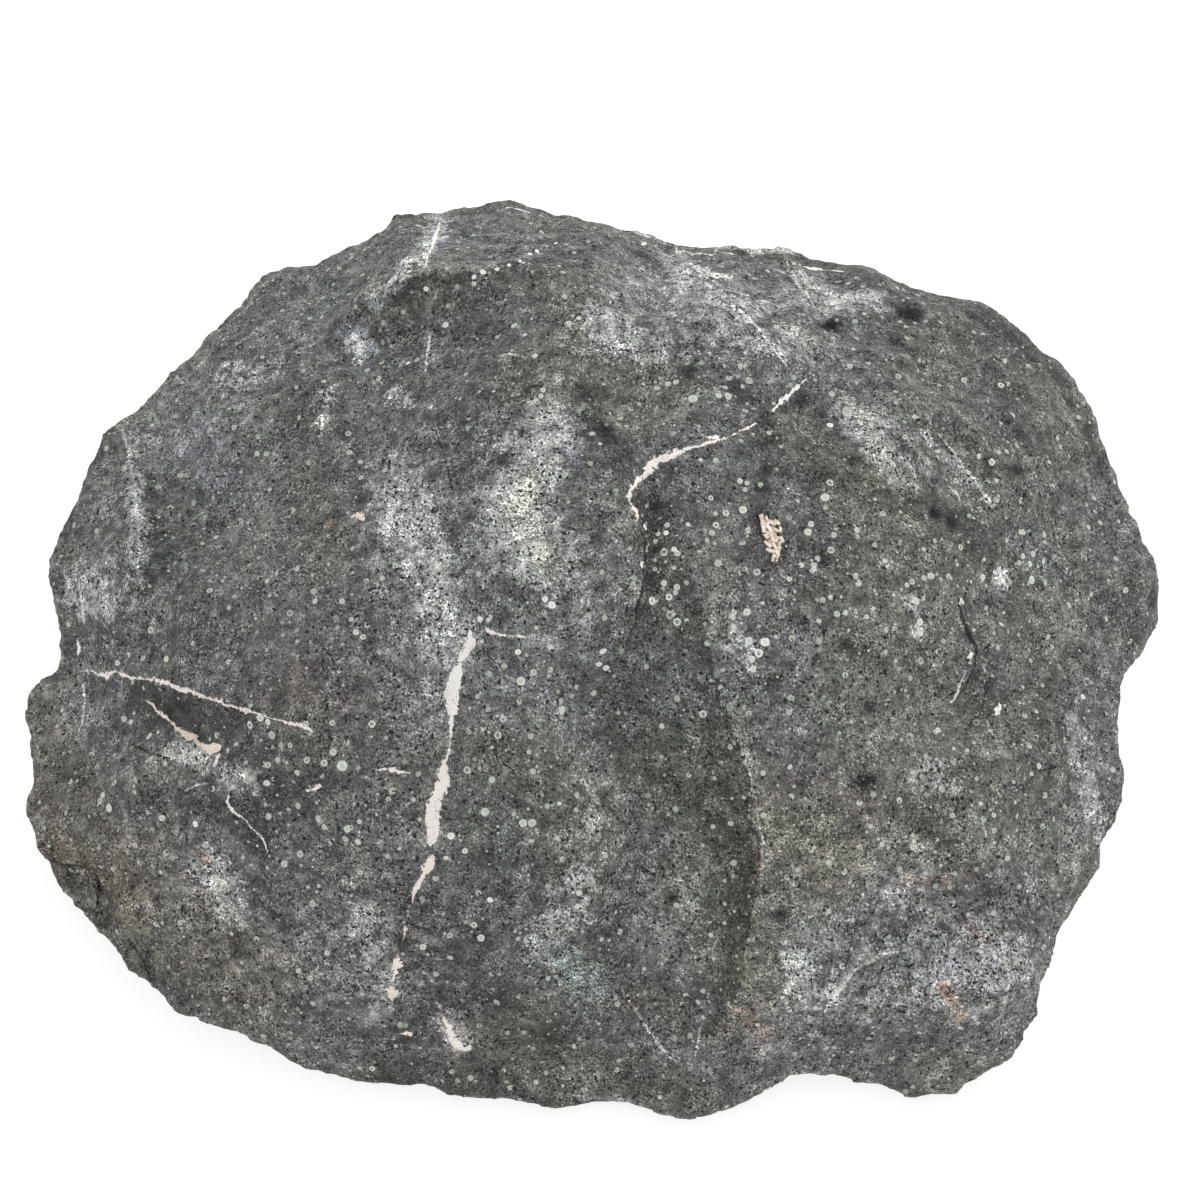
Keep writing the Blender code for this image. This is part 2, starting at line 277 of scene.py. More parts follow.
# For every point: how far it is to the left hand of a run (right is negative), how far beyond
# its ends, and the run's own value there. All in mm.
def followRun(points, normals, places, values):
    best = np.full(len(points), 1e9)
    side = np.full(len(points), 1e3)
    beyond = np.full(len(points), 1e3)
    value = np.zeros(len(points))
    for start, stop, valueA, valueB in zip(places, places[1:], values, values[1:]):
        along = stop - start
        length = np.linalg.norm(along)
        t = ((points - start) @ along) / (length * length)
        held = np.clip(t, 0.0, 1.0)
        away = points - (start + held[:, None] * along)
        gap = np.linalg.norm(away, axis=1)
        hand = np.sign(np.einsum("ij,ij->i", np.cross(normals, along), away))
        nearer = gap < best
        best = np.where(nearer, gap, best)
        side = np.where(nearer, hand * gap / mm, side)
        beyond = np.where(nearer, np.abs(t - held) * length / mm, beyond)
        value = np.where(nearer, valueA + (valueB - valueA) * held, value)
    return side, beyond, value


# The distance of every point from a place, in radii.
def gapFrom(points, tree, across, down, radius):
    return np.linalg.norm(points - spotOn(tree, across, down), axis=1) / (radius * mm)


def breakEdges(rock, tree):
    points, normals = readPoints(rock.data)
    height = np.zeros(len(points))
    closest = np.full(len(points), edgeFade["near"])
    nearSide = np.full(len(points), edgeFade["far"])
    tones = np.zeros((2, len(points)))
    for edge in edges.values():
        rises = [rise for _, _, rise in edge["run"]]
        places = [spotOn(tree, across, down) for across, down, _ in edge["run"]]
        side, beyond, rise = followRun(points, normals, places, rises)
        fade = np.exp(-(beyond / edgeFade["ends"]) ** 2)
        height += rise * np.exp(-np.abs(side) / np.where(side > 0, *edge["reach"])) * fade
        fade *= np.minimum(np.abs(rise) / max(map(abs, rises)) * edgeFade["fullTone"], 1.0)
        gap = np.hypot(side, beyond)
        nearer = gap < closest
        closest = np.where(nearer, gap, closest)
        nearSide = np.where(nearer, side, nearSide)
        # the tone of each hand: painted light and shade of the edge, with some dust
        for tone, (strength, toneReach) in zip(tones, edge["tones"]):
            tone[nearer] = (strength * fade * np.exp(-(side / toneReach) ** 2))[nearer]
    writeValues(rock.data, "edgeSide", nearSide)
    writeValues(rock.data, "edgeLeft", tones[0])
    writeValues(rock.data, "edgeRight", tones[1])
    for across, down, radius, rise in swells:
        height += rise * np.exp(-gapFrom(points, tree, across, down, radius) ** 2)
    for across, down, radius, depth in pits:      # steeper sides than a swell's
        height -= depth * np.exp(-gapFrom(points, tree, across, down, radius) ** 4)
    movePoints(rock.data, points + normals * (height * mm)[:, None])


rock = makeRock()
print("rock surface", len(rock.data.polygons), "faces")
roughenRock(rock)
breakEdges(rock, makeSight(rock))
print("rock roughened")

# Mineral veins in old cracks: how warm their white is, and runs of (across, down, half width in
# pixels). A warmth below nothing is a pale streak instead, the fainter the nearer to nothing.
veins = {
    "long": (0.12, [(470, 630, 1), (471, 637, 2.5), (470, 642, 5.5), (463, 655, 4), (460, 663, 1.5),
        (458, 668, 5), (455, 678, 6), (452, 690, 8), (451, 705, 6), (452, 712, 4.5), (452, 716, 2.5),
        (451, 722, 2.5), (451, 732, 1.6), (450, 742, 0.9), (449, 752, 0.7), (446, 760, 1.4)]),
    "longLow": (0.3, [(444, 761, 2), (443, 772, 5), (444, 781, 7), (440, 790, 6), (436, 797, 6),
        (434, 808, 6.5), (433, 817, 7.5), (433, 828, 7), (432, 838, 4.5), (430, 845, 2.5)]),
    "longPeach": (0.6, [(433, 856, 2), (429, 864, 5), (427, 870, 4), (424, 875, 2), (421, 880, 2.2),
        (416, 888, 3), (413, 896, 1.2), (412, 904, 0.3)]),
    "longFoot": (0.5, [(404, 922, 0.5), (405, 931, 2.2), (400, 945, 0), (398, 955, 0.8), (397, 965, 5),
        (394, 975, 1), (393, 982, 1)]),
    "pinkFoot": (0.9, [(386, 990, 3), (392, 990, 6), (393, 998, 3)]),
    "left": (0.45, [(84, 671, 0.6), (90, 670, 1.3), (97, 674, 1), (103, 675, 2.2), (107, 677, 4.5),
        (110, 673, 2), (116, 671, 1.2), (122, 675, 1.8), (132, 678, 1.2), (140, 678, 1.3), (150, 680, 1.4),
        (158, 681, 1.9), (166, 683, 2.1), (174, 686, 1.8), (180, 690, 2.8), (190, 690, 1.8), (199, 695, 2.6),
        (206, 698, 1.5), (213, 699, 1.5), (222, 702, 1.3), (232, 706, 0.9), (240, 709, 1.3), (244, 710, 2.6),
        (252, 712, 0.7), (262, 715, 1), (270, 718, 0.8), (280, 720, 0.6), (290, 724, 1.4), (301, 725, 2.4),
        (307, 728, 1.6), (313, 732, 0.5)]),
    "branch": (0.9, [(144, 700, 0.5), (152, 703, 1.2), (155, 709, 0.8), (160, 714, 1.9), (166, 717, 1.4),
        (172, 723, 1.4), (175, 727, 2), (180, 731, 1.4), (186, 734, 3.2), (192, 736, 4.2), (198, 743, 1.8),
        (203, 746, 2.4), (210, 750, 4.5), (217, 748, 4.5), (221, 747, 3)]),
    "branchTail": (0.3, [(219, 756, 1.2), (215, 763, 2.3), (213, 769, 0.6)]),
    "branchLow": (0.4, [(229, 793, 1.6), (227, 804, 1), (233, 811, 1.1), (246, 820, 0.7), (251, 828, 1.1),
        (256, 832, 1.3), (261, 836, 1.1), (265, 844, 0.7), (268, 852, 0.6)]),
    "cream": (0.3, [(757, 423, 0.8), (747, 428, 1.4), (738, 432, 0.6), (733, 435, 0.7), (727, 437, 0.2),
        (721, 440, 1.3), (715, 441, 1.7), (707, 443, 1.3), (700, 446, 1), (693, 447, 1.2), (685, 449, 1.8),
        (680, 452, 3), (672, 455, 4), (664, 458, 3.3), (657, 460, 2.6), (652, 463, 4.6), (649, 469, 4),
        (644, 476, 3.6), (639, 479, 3), (635, 484, 2), (631, 490, 1.8), (628, 498, 2.2)]),
    "creamHook": (0.6, [(630, 503, 1.2), (633, 507, 2.2), (637, 513, 2.5), (638, 518, 2.2), (636, 522, 0.8)]),
    "upper": (0.05, [(806, 379, 1.6), (801, 384, 0.6), (797, 387, 2.2), (793, 391, 1.4), (787, 396, 2.2),
        (781, 401, 2.6), (777, 406, 1), (772, 412, 0.6)]),
    "fluff": (-0.7, [(694, 424, 0.8), (700, 427, 2.8), (698, 432, 0.6), (704, 436, 1.8)]),
    "fluffLow": (0.25, [(709, 437, 1.6), (714, 438, 2.4), (720, 435, 0.8)]),
    "notch": (0, [(77, 640, 1), (79, 648, 2), (78, 656, 1)]),
    "dash": (0.2, [(376, 770, 0.8), (388, 769, 1), (394, 770, 2.5), (400, 772, 1.1), (410, 773, 0.8)]),
    "dots": (0.35, [(486, 629, 1.5), (491, 632, 2.8), (497, 634, 0.9), (508, 636, 0.8), (514, 636, 0.3),
        (520, 636, 1.5), (528, 638, 0.9)]),
    "bits": (0.3, [(306, 791, 1.5), (315, 788, 2.3), (321, 786, 1.6)]),
    "lowBits": (0.6, [(402, 1034, 1.6), (409, 1033, 2.6), (411, 1036, 1)]),
    "rightBit": (0, [(1000, 704, 1.5), (998, 710, 3.6), (995, 716, 1)]),
    "ledgeTip": (0.2, [(968, 657, 2.5), (972, 655, 4)]),
    "rimLeft": (0.3, [(506, 208, 1.5), (518, 209, 2), (530, 213, 1)]),
    "rimWhite": (0, [(633, 242, 1.5), (644, 243, 2.5), (657, 246, 1.5)]),
    "rimPale": (0.4, [(678, 252, 2.5), (700, 253, 1.6), (712, 255, 0.6), (735, 254, 1.4)]),
    "rimRight": (0.1, [(804, 267, 1.5), (820, 269, 2.2), (844, 272, 1.5)]),
    "bladeBody": (1, [(764, 520, 2), (770, 530, 4.5), (774, 545, 4.5), (776, 560, 2)]),
    "chip": (1, [(352, 517, 2), (358, 514, 3.5), (363, 519, 3)]),
    "star": (0, [(993, 571, 1), (1001, 576, 2.6), (1006, 584, 1.2), (1003, 590, 0.5)]),
    "starArm": (-0.7, [(1009, 568, 0.8), (1001, 576, 2.2), (990, 582, 0.6)]),
    "streak": (0.1, [(429, 332, 1), (428, 345, 1.6), (427, 356, 1.2), (425, 372, 1)]),
    "crestStreak": (0.3, [(440, 222, 0.6), (435, 238, 2.2), (430, 252, 1.2), (425, 268, 0.8)]),
    "topDiagonal": (-0.8, [(675, 246, 1.4), (681, 262, 1.8), (690, 280, 1.8), (706, 296, 2.2), (722, 302, 1.2),
        (738, 308, 2), (752, 322, 1.6), (764, 336, 2), (776, 352, 1.4), (788, 369, 1.2)]),
    "topSecond": (-0.7, [(787, 262, 1.2), (799, 286, 1.8), (812, 302, 1.2), (829, 317, 1.4)]),
    "lobeStreak": (-0.8, [(824, 1012, 1), (832, 1000, 2.8), (842, 985, 3), (857, 968, 1.8), (884, 954, 1.4),
        (912, 948, 0.8)]),
    "footLeft": (-0.8, [(622, 990, 0.6), (640, 1017, 1.4), (657, 1042, 1.6), (671, 1059, 1)]),
    "footRight": (-0.8, [(701, 1026, 0.8), (698, 1042, 1.4), (695, 1058, 0.8)]),
    "rightStreak": (-0.7, [(938, 434, 0.8), (952, 450, 1.6), (970, 474, 1.4), (984, 494, 1.8), (994, 505, 1)]),
    "leftRim": (-0.6, [(122, 428, 1), (128, 448, 2.4), (133, 476, 1.6), (136, 506, 2.6), (139, 530, 1.4),
        (138, 560, 1)]),
    "notchRim": (-0.6, [(77, 566, 1.8), (80, 590, 2.4), (83, 612, 1.6), (84, 626, 1)]),
    "tick": (-0.6, [(982, 816, 1), (984, 828, 1.6), (986, 838, 0.8)]),
    "leftHair": (-0.7, [(82, 680, 0.8), (85, 700, 1.2), (82, 722, 1), (78, 742, 0.6)]),
    "recessLine": (-0.8, [(184, 791, 0.8), (197, 785, 1.6), (209, 783, 0.8)]),
    "longSide": (-0.35, [(402, 691, 0.8), (416, 695, 1.4), (434, 696, 0.8)]),
    "rowMarks": (-0.6, [(498, 356, 0.8), (512, 354, 1.6), (524, 357, 0.8)]),
    "bloomRim": (-0.8, [(548, 410, 1), (556, 402, 2.2), (570, 408, 1.2), (582, 416, 0.8)]),
    "ridgeLine": (-0.6, [(743, 752, 0.3), (750, 775, 0.6), (756, 800, 0.7), (757, 818, 0.3), (763, 840, 0.8),
        (760, 866, 0.4)]),
    "footChunk": (0.45, [(444, 1018, 2), (448, 1026, 3.4), (452, 1037, 3), (458, 1046, 5), (466, 1050, 2.2),
        (470, 1046, 3)]),
    "ledgeRim": (0.2, [(965, 672, 0.3), (959, 688, 0.8), (955, 699, 1), (950, 703, 1.4)]),
}
# Dark lines, partly real cracks and partly painted shadow under ledges and painted shade in hollows and
# recesses: runs of (across, down, half width in pixels).
crackAndShadowLines = {
    "step": [(636, 524, 0.3), (645, 540, 1.2), (646, 556, 1.8), (643, 575, 1), (642, 592, 1.8), (636, 612, 1.6),
        (632, 630, 1), (624, 648, 0.4)],
    "underLong": [(404, 931, 0.3), (401, 940, 1.4), (399, 951, 0.8)],
    "right": [(1038, 771, 0.4), (1052, 768, 1.4), (1067, 763, 0.4)],
    "ledge": [(957, 590, 0.6), (961, 612, 1.8), (967, 630, 2.6), (977, 650, 2.6), (976, 664, 1.4),
        (964, 690, 0.4)],
    "topDash": [(560, 258, 0.5), (575, 259, 1.5), (590, 260, 0.5)],
    "recess": [(128, 744, 0.3), (140, 748, 1.2), (158, 756, 0.8), (180, 760, 0.3)],
    "leftFaint": [(316, 638, 0.2), (334, 661, 0.7), (349, 682, 0.2)],
    "bloomStep": [(600, 424, 0.2), (614, 438, 0.8), (626, 452, 0.8), (634, 464, 0.2)],
    "topHollow": [(806, 330, 0.4), (824, 325, 1.6), (842, 324, 1), (856, 328, 0.3)],
    "underDiagonal": [(712, 306, 0.2), (728, 312, 0.8), (745, 326, 0.8), (758, 340, 0.2)],
    "bloomHoles": [(383, 459, 1.6), (386, 463, 0.4), (390, 460, 2), (388, 470, 1.2)],
    "bloomHair": [(436, 432, 0.2), (446, 462, 0.9), (454, 496, 0.2)],
    "holeLeft": [(934, 508, 2.2), (932, 514, 2.4), (936, 518, 1.2)],
    "crystalShade": [(757, 516, 2), (762, 522, 2), (768, 530, 1.2)],
}
# How far from a run the surface still knows it, in mm: beyond "taperFrom" the width dies away.
runReach = {"limit": 9.0, "taperFrom": 3.0, "taper": 2.0, "farSide": 50.0, "noWidth": -10.0}


# Side and half width of the nearest run, which the material turns into a vein with a crisp edge.
def markRuns(mesh, tree, points, normals, runs, name):
    side = np.full(len(points), runReach["farSide"])
    width = np.full(len(points), runReach["noWidth"])
    warm = np.zeros(len(points))
    for tone, run in runs:
        places = [spotOn(tree, across, down) for across, down, _ in run]
        itsSide, beyond, half = followRun(points, normals, places, [half * pixelSize for _, _, half in run])
        off = np.abs(itsSide)
        half = half - beyond - runReach["taper"] * np.maximum(off - runReach["taperFrom"], 0.0)
        closer = (off - half < np.abs(side) - width) & (off < runReach["limit"])
        side = np.where(closer, itsSide, side)
        width = np.where(closer, half, width)
        warm = np.where(closer, tone, warm)
    writeValues(mesh, name + "Side", side)
    writeValues(mesh, name + "Half", width)
    return warm


# Patches of colour: runs of (across, down), a radius in mm and a strength.
patches = {
    "bloom": [
        ([(556, 408), (540, 450), (520, 490), (515, 525), (545, 555)], 12, 1),
        ([(505, 505), (520, 530)], 10, 0.6),
        ([(395, 470), (405, 520), (430, 560), (440, 600), (455, 640)], 11, 0.75),
        ([(674, 258), (700, 295), (735, 325), (765, 345)], 7, 0.9), ([(690, 300), (740, 300)], 16, 0.5),
        ([(795, 275), (830, 292), (850, 302), (890, 306)], 7, 0.8),
        ([(602, 310), (612, 335), (650, 345)], 8, 0.9), ([(850, 420), (880, 442), (900, 480)], 8, 0.9),
        ([(440, 215), (430, 250), (400, 275), (375, 300)], 5, 0.8), ([(358, 340), (368, 350)], 5, 0.8),
        ([(126, 470), (136, 520), (138, 560)], 5, 0.9), ([(75, 590), (110, 600)], 8, 0.8),
        ([(175, 748), (205, 758)], 5, 0.9), ([(228, 775), (250, 780)], 5, 0.8),
        ([(208, 866), (225, 880), (232, 905)], 8, 0.9), ([(365, 930), (385, 990)], 9, 0.5),
        ([(447, 1020), (462, 1045)], 5, 1), ([(560, 920), (545, 945)], 9, 0.5),
        ([(590, 800), (582, 890)], 9, 0.4), ([(680, 885), (690, 910)], 5, 0.5),
        ([(795, 955), (800, 985)], 6, 0.7), ([(835, 995), (855, 970)], 5, 0.8),
        ([(900, 960), (960, 955), (1010, 970)], 15, 0.55), ([(1000, 575), (1003, 578)], 4, 1),
        ([(1075, 720), (1088, 790)], 6, 0.6), ([(1090, 800), (1100, 830)], 6, 0.5),
        ([(735, 640), (750, 650)], 7, 0.35), ([(640, 225), (660, 238)], 4, 0.8),
        ([(720, 246), (780, 250)], 4, 0.8), ([(230, 370), (250, 375)], 14, 0.35),
        ([(915, 600), (920, 625)], 6, 0.5), ([(935, 770), (930, 790)], 8, 0.4),
        ([(922, 432), (960, 468), (992, 505)], 1.6, 0.9),
    ],
    "haze": [
        ([(160, 900), (280, 940), (400, 960)], 28, 0.7), ([(380, 480), (410, 540), (440, 620)], 18, 0.9),
        ([(540, 430), (520, 540)], 18, 0.7), ([(640, 350), (720, 340), (800, 360)], 18, 0.7),
        ([(630, 290), (700, 290), (790, 310)], 18, 0.8), ([(480, 430), (500, 520), (560, 560)], 20, 0.4),
        ([(620, 540), (605, 640)], 9, 0.6), ([(890, 920), (1010, 930)], 16, 0.7),
        ([(880, 960), (1000, 960)], 26, 0.8), ([(560, 900), (640, 900)], 18, 0.5),
        ([(150, 600), (90, 580)], 14, 0.5), ([(175, 453), (240, 400), (315, 337)], 5, 0.8),
        ([(105, 490), (112, 580)], 6, 0.8), ([(870, 430), (940, 480)], 12, 0.6),
    ],
    "olive": [
        ([(440, 300), (520, 330), (560, 300)], 26, 0.9), ([(640, 640), (680, 800), (700, 960)], 26, 0.9),
        ([(500, 720), (560, 840)], 24, 0.7), ([(780, 520), (900, 700), (1000, 820)], 45, 0.7),
        ([(1000, 450), (1080, 600)], 30, 0.6), ([(620, 420), (760, 420)], 24, 0.5),
    ],
    "brown": [
        ([(60, 850), (110, 880), (160, 900)], 20, 0.5), ([(120, 855), (125, 865)], 6, 0.9),
        ([(705, 700), (722, 790), (725, 960)], 10, 0.15), ([(300, 690), (320, 700)], 10, 0.5),
    ],
    "rust": [
        ([(942, 985), (952, 1000), (962, 1018)], 1.7, 1.2), ([(757, 850), (757, 868)], 1.6, 0.6),
        ([(742, 1012), (765, 1030)], 3, 0.4), ([(202, 857), (206, 861)], 1.6, 0.9),
        ([(166, 659), (167, 660)], 1.2, 0.9), ([(388, 792), (392, 791)], 1.2, 0.7),
        ([(905, 880), (950, 882)], 2, 0.35), ([(330, 520), (332, 524)], 1.2, 0.6),
        ([(970, 930), (985, 935)], 2, 0.4),
    ],
    "teal": [
        ([(560, 950), (580, 975), (592, 990)], 7, 0.8), ([(700, 890), (720, 930)], 6, 0.3),
    ],
    "core": [
        ([(553, 404), (561, 440), (535, 476), (511, 507), (523, 537), (540, 558)], 6.5, 0.95),
        ([(430, 560), (440, 600), (452, 632)], 6, 0.6), ([(398, 500), (412, 535)], 6, 0.5),
        ([(391, 392), (414, 404)], 4.5, 0.75), ([(331, 386), (322, 424)], 2.2, 0.8),
        ([(606, 305), (614, 325), (626, 340)], 7, 0.45), ([(694, 264), (722, 276)], 5, 0.7),
        ([(798, 283), (842, 300), (884, 305)], 5, 0.7),
        ([(440, 222), (424, 262), (402, 276), (384, 290)], 3, 0.7), ([(165, 752), (205, 760)], 3, 0.9),
        ([(230, 770), (255, 778)], 3, 0.8), ([(214, 868), (228, 890), (233, 905)], 5, 0.7),
        ([(76, 565), (80, 600)], 4, 0.6), ([(131, 450), (134, 480), (136, 525)], 2.6, 0.6),
        ([(846, 400), (862, 412), (872, 438), (888, 446)], 5, 0.85), ([(922, 456), (930, 464)], 2.5, 0.9),
        ([(950, 484), (958, 496)], 2.5, 0.8), ([(1001, 577), (1003, 579)], 3, 0.5),
        ([(795, 960), (800, 985)], 4, 0.4), ([(790, 1012), (812, 1018)], 4, 0.4),
        ([(720, 246), (780, 250)], 2.5, 0.9), ([(356, 340), (358, 362)], 2.5, 0.8),
    ],
    "spotty": [
        ([(665, 530), (670, 620)], 10, 1), ([(760, 950), (800, 985)], 14, 0.9),
        ([(780, 830), (880, 860)], 18, 0.6), ([(690, 930), (700, 1000)], 12, 0.6),
        ([(740, 640), (760, 660)], 10, 0.8), ([(500, 720), (560, 880)], 25, 0.5),
        ([(820, 560), (930, 620), (1030, 570)], 25, 0.6), ([(240, 780), (350, 840)], 20, 0.5),
        ([(520, 330), (560, 280)], 20, 0.4), ([(900, 800), (1000, 820)], 25, 0.4),
    ],
}
# Yellower places, or bluer where the strength is negative: runs, a radius in mm and a strength.
yellows = [
    ([(60, 860), (120, 900)], 18, 0.9), ([(150, 940), (270, 980)], 16, 0.7),
    ([(510, 1030), (560, 1050)], 14, 0.6), ([(760, 800), (830, 870)], 18, 0.7),
    ([(540, 395), (650, 400)], 14, 0.7), ([(565, 270), (570, 280)], 12, 0.6),
    ([(870, 485), (920, 520)], 14, 0.7), ([(1030, 380), (1070, 470)], 16, 0.6),
    ([(930, 1065), (980, 1075)], 12, 0.5), ([(600, 500), (640, 530)], 10, 0.6),
    ([(528, 485), (545, 555)], 6, 0.5), ([(680, 820), (745, 980)], 14, 0.6),
    ([(195, 440), (230, 490)], 16, -0.8), ([(310, 490), (330, 560)], 12, 0.4),
    ([(450, 230), (500, 330)], 18, -0.6), ([(300, 280), (380, 380)], 24, -0.6),
    ([(520, 700), (590, 730)], 20, -0.9), ([(720, 440), (780, 530)], 18, -0.9),
    ([(640, 800), (670, 820)], 12, -0.7), ([(650, 945), (685, 975)], 12, -0.8),
    ([(110, 680), (140, 730)], 12, -0.7), ([(40, 720), (60, 770), (90, 800)], 10, 0.8),
    ([(510, 735), (600, 790), (640, 755)], 14, 0.6), ([(460, 1075), (680, 1090)], 10, 0.4),
    ([(550, 410), (595, 500)], 12, -0.6), ([(320, 690), (440, 705)], 15, -0.5),
    ([(605, 610), (660, 670)], 15, -0.5), ([(780, 620), (790, 770)], 14, -0.6),
    ([(640, 860), (690, 850)], 12, -0.5), ([(1030, 540), (1050, 570)], 14, -0.6),
    ([(1075, 495), (1100, 545)], 12, -0.5), ([(920, 955), (980, 975)], 14, -0.4),
    ([(120, 480), (200, 560)], 20, -0.4),
]
# The same for redder and greener places.
reds = [
    ([(600, 800), (740, 980)], 22, 0.4), ([(780, 560), (960, 720)], 40, 0.3),
    ([(190, 430), (240, 450)], 14, -0.5), ([(150, 560), (165, 570)], 10, -0.6),
    ([(200, 600), (280, 690)], 22, 0.5), ([(90, 870), (140, 890)], 14, 0.6),
    ([(205, 950), (250, 985)], 10, 0.9), ([(435, 1000), (460, 1050)], 8, 0.8),
    ([(610, 985), (640, 1000)], 8, 0.9), ([(730, 1000), (745, 1050)], 8, 0.7),
    ([(770, 800), (850, 870)], 18, 0.7), ([(830, 790), (900, 810)], 12, 0.6),
    ([(955, 860), (980, 890)], 8, 0.7), ([(890, 300), (970, 340)], 14, 0.4),
    ([(36, 700), (48, 750), (60, 800)], 7, 1), ([(90, 890), (200, 930), (400, 970)], 26, 0.4),
    ([(690, 690), (725, 890)], 12, -0.7), ([(480, 560), (560, 640)], 16, -0.5),
    ([(490, 820), (505, 870)], 10, -0.5), ([(780, 930), (880, 900)], 18, -0.4),
    ([(730, 700), (850, 710)], 18, -0.3), ([(400, 870), (430, 890)], 6, -0.4),
]
# Lighter and darker places, partly the stone's own colour and partly painted light and shade of the
# relief: runs of (across, down), a radius in mm, and a tone that doubles the light at 1.
tones = [
    ([(385, 315), (420, 295), (475, 300), (490, 330)], 11, -0.41),
    ([(466, 430), (466, 520), (470, 620)], 5, -0.41), ([(585, 400), (605, 430), (628, 470)], 5, -0.41),
    ([(655, 500), (655, 600)], 7, -0.41), ([(170, 490), (190, 540)], 13, -0.32),
    ([(150, 695), (180, 708), (230, 722)], 5, -0.45), ([(265, 400), (300, 420)], 13, -0.23),
    ([(130, 800), (210, 806), (280, 825)], 7, -0.27), ([(262, 850), (240, 935)], 7, -0.27),
    ([(410, 905), (414, 970)], 5, -0.32), ([(450, 990), (520, 1000)], 10, -0.32),
    ([(720, 790), (735, 860), (738, 960)], 9, -0.41), ([(610, 700), (650, 760), (690, 830)], 12, -0.23),
    ([(800, 1025), (860, 1040), (990, 1040)], 7, -0.36), ([(925, 825), (965, 870), (1035, 915)], 5, -0.32),
    ([(885, 915), (950, 900)], 6, -0.23), ([(950, 510), (968, 535)], 7, -0.32),
    ([(690, 372), (745, 392)], 8, -0.27), ([(800, 395), (835, 425)], 9, -0.23),
    ([(990, 320), (1050, 370)], 9, -0.23), ([(1120, 590), (1150, 590)], 9, -0.23),
    ([(640, 960), (668, 1050)], 6, -0.27), ([(165, 400), (200, 385), (240, 420)], 10, 0.45),
    ([(140, 440), (175, 440)], 7, 0.45), ([(255, 480), (270, 545)], 8, 0.35), ([(75, 700), (90, 725)], 8, 0.8),
    ([(150, 765), (190, 758)], 4, 0.5), ([(345, 262), (420, 262)], 6, 0.4),
    ([(415, 260), (425, 300), (430, 340)], 6, 0.5), ([(450, 235), (500, 230)], 7, 0.25),
    ([(460, 310), (520, 320)], 8, 0.35), ([(350, 335), (355, 365)], 5, 0.45),
    ([(640, 290), (700, 270), (730, 275)], 9, 0.5), ([(790, 290), (850, 300)], 9, 0.5),
    ([(505, 490), (530, 515)], 6, 0.4), ([(585, 560), (585, 620)], 6, 0.6), ([(535, 640), (535, 700)], 8, 0.55),
    ([(570, 710), (580, 760)], 9, 0.45), ([(600, 770), (620, 820)], 7, 0.4), ([(520, 830), (560, 840)], 6, 0.3),
    ([(380, 835), (440, 840)], 6, 0.35), ([(785, 640), (820, 640)], 6, 0.4), ([(920, 760), (950, 785)], 6, 0.5),
    ([(870, 860), (880, 895)], 6, 0.6), ([(910, 830), (990, 830)], 9, 0.4),
    ([(1010, 830), (1060, 860)], 12, 0.25), ([(800, 830), (900, 870)], 14, 0.2),
    ([(690, 860), (690, 890)], 7, 0.4), ([(780, 920), (800, 950)], 8, 0.5),
    ([(780, 1040), (830, 1010)], 8, 0.8), ([(880, 1010), (970, 1020)], 8, 0.3),
    ([(650, 1045), (700, 1060)], 6, 0.4), ([(540, 980), (620, 985)], 9, 0.3),
    ([(1040, 420), (1090, 480)], 10, 0.3), ([(200, 680), (240, 675)], 6, 0.25),
    ([(905, 330), (960, 330), (1010, 360)], 14, -0.4), ([(560, 395), (590, 410), (620, 460)], 7, -0.6),
    ([(470, 390), (530, 395)], 9, -0.35), ([(148, 525), (155, 560)], 6, -0.8),
    ([(140, 710), (180, 710)], 7, -0.6), ([(200, 735), (320, 750)], 8, -0.35),
    ([(290, 795), (330, 780)], 6, -0.7), ([(150, 810), (250, 810)], 7, -0.5),
    ([(265, 890), (280, 920)], 7, -0.9), ([(80, 880), (140, 950)], 12, -0.35),
    ([(190, 990), (230, 1000)], 9, -0.3), ([(150, 870), (170, 920)], 10, -0.3),
    ([(410, 930), (415, 960)], 6, -0.5), ([(455, 960), (480, 940)], 7, -0.6),
    ([(500, 1040), (540, 1050)], 7, -0.5), ([(420, 1075), (480, 1080)], 7, -0.4),
    ([(395, 1040), (430, 1035)], 5, -0.3), ([(605, 920), (615, 960)], 7, -0.45),
    ([(680, 1095), (740, 1090)], 6, -0.4), ([(730, 440), (800, 450)], 11, -0.35),
    ([(850, 430), (935, 490)], 6, -0.25), ([(955, 520), (975, 545)], 6, -0.6),
    ([(850, 990), (890, 950)], 5, -0.5), ([(700, 360), (740, 350)], 7, -0.25),
    ([(970, 315), (1010, 335), (1055, 375), (1085, 420), (1100, 460)], 5, -0.6),
    ([(105, 425), (78, 500), (60, 580), (66, 650)], 3.5, -0.5), ([(418, 645), (428, 700)], 7, 0.7),
    ([(440, 720), (600, 740)], 11, 0.3), ([(850, 285), (950, 300), (1030, 340)], 10, -0.4),
    ([(900, 500), (1080, 500)], 25, -0.12), ([(1030, 430), (1090, 450)], 12, -0.2),
    ([(540, 210), (620, 245), (740, 255)], 5, -0.35), ([(90, 430), (150, 420), (200, 460)], 14, 0.3),
    ([(220, 560), (300, 600)], 16, 0.2), ([(680, 580), (740, 620)], 14, 0.25),
    ([(480, 700), (570, 740)], 14, 0.15), ([(720, 690), (860, 720)], 16, 0.2),
    ([(800, 870), (960, 880)], 14, 0.2), ([(60, 740), (110, 700)], 10, 0.25),
    ([(150, 830), (230, 830)], 10, 0.25), ([(1060, 640), (1130, 650)], 10, 0.3),
    ([(905, 505), (950, 530), (990, 552)], 6, -0.35),
    ([(758, 518), (768, 535), (774, 552)], 3.6, -1.8),      # painted shade in the hollow that the blades stand in
]
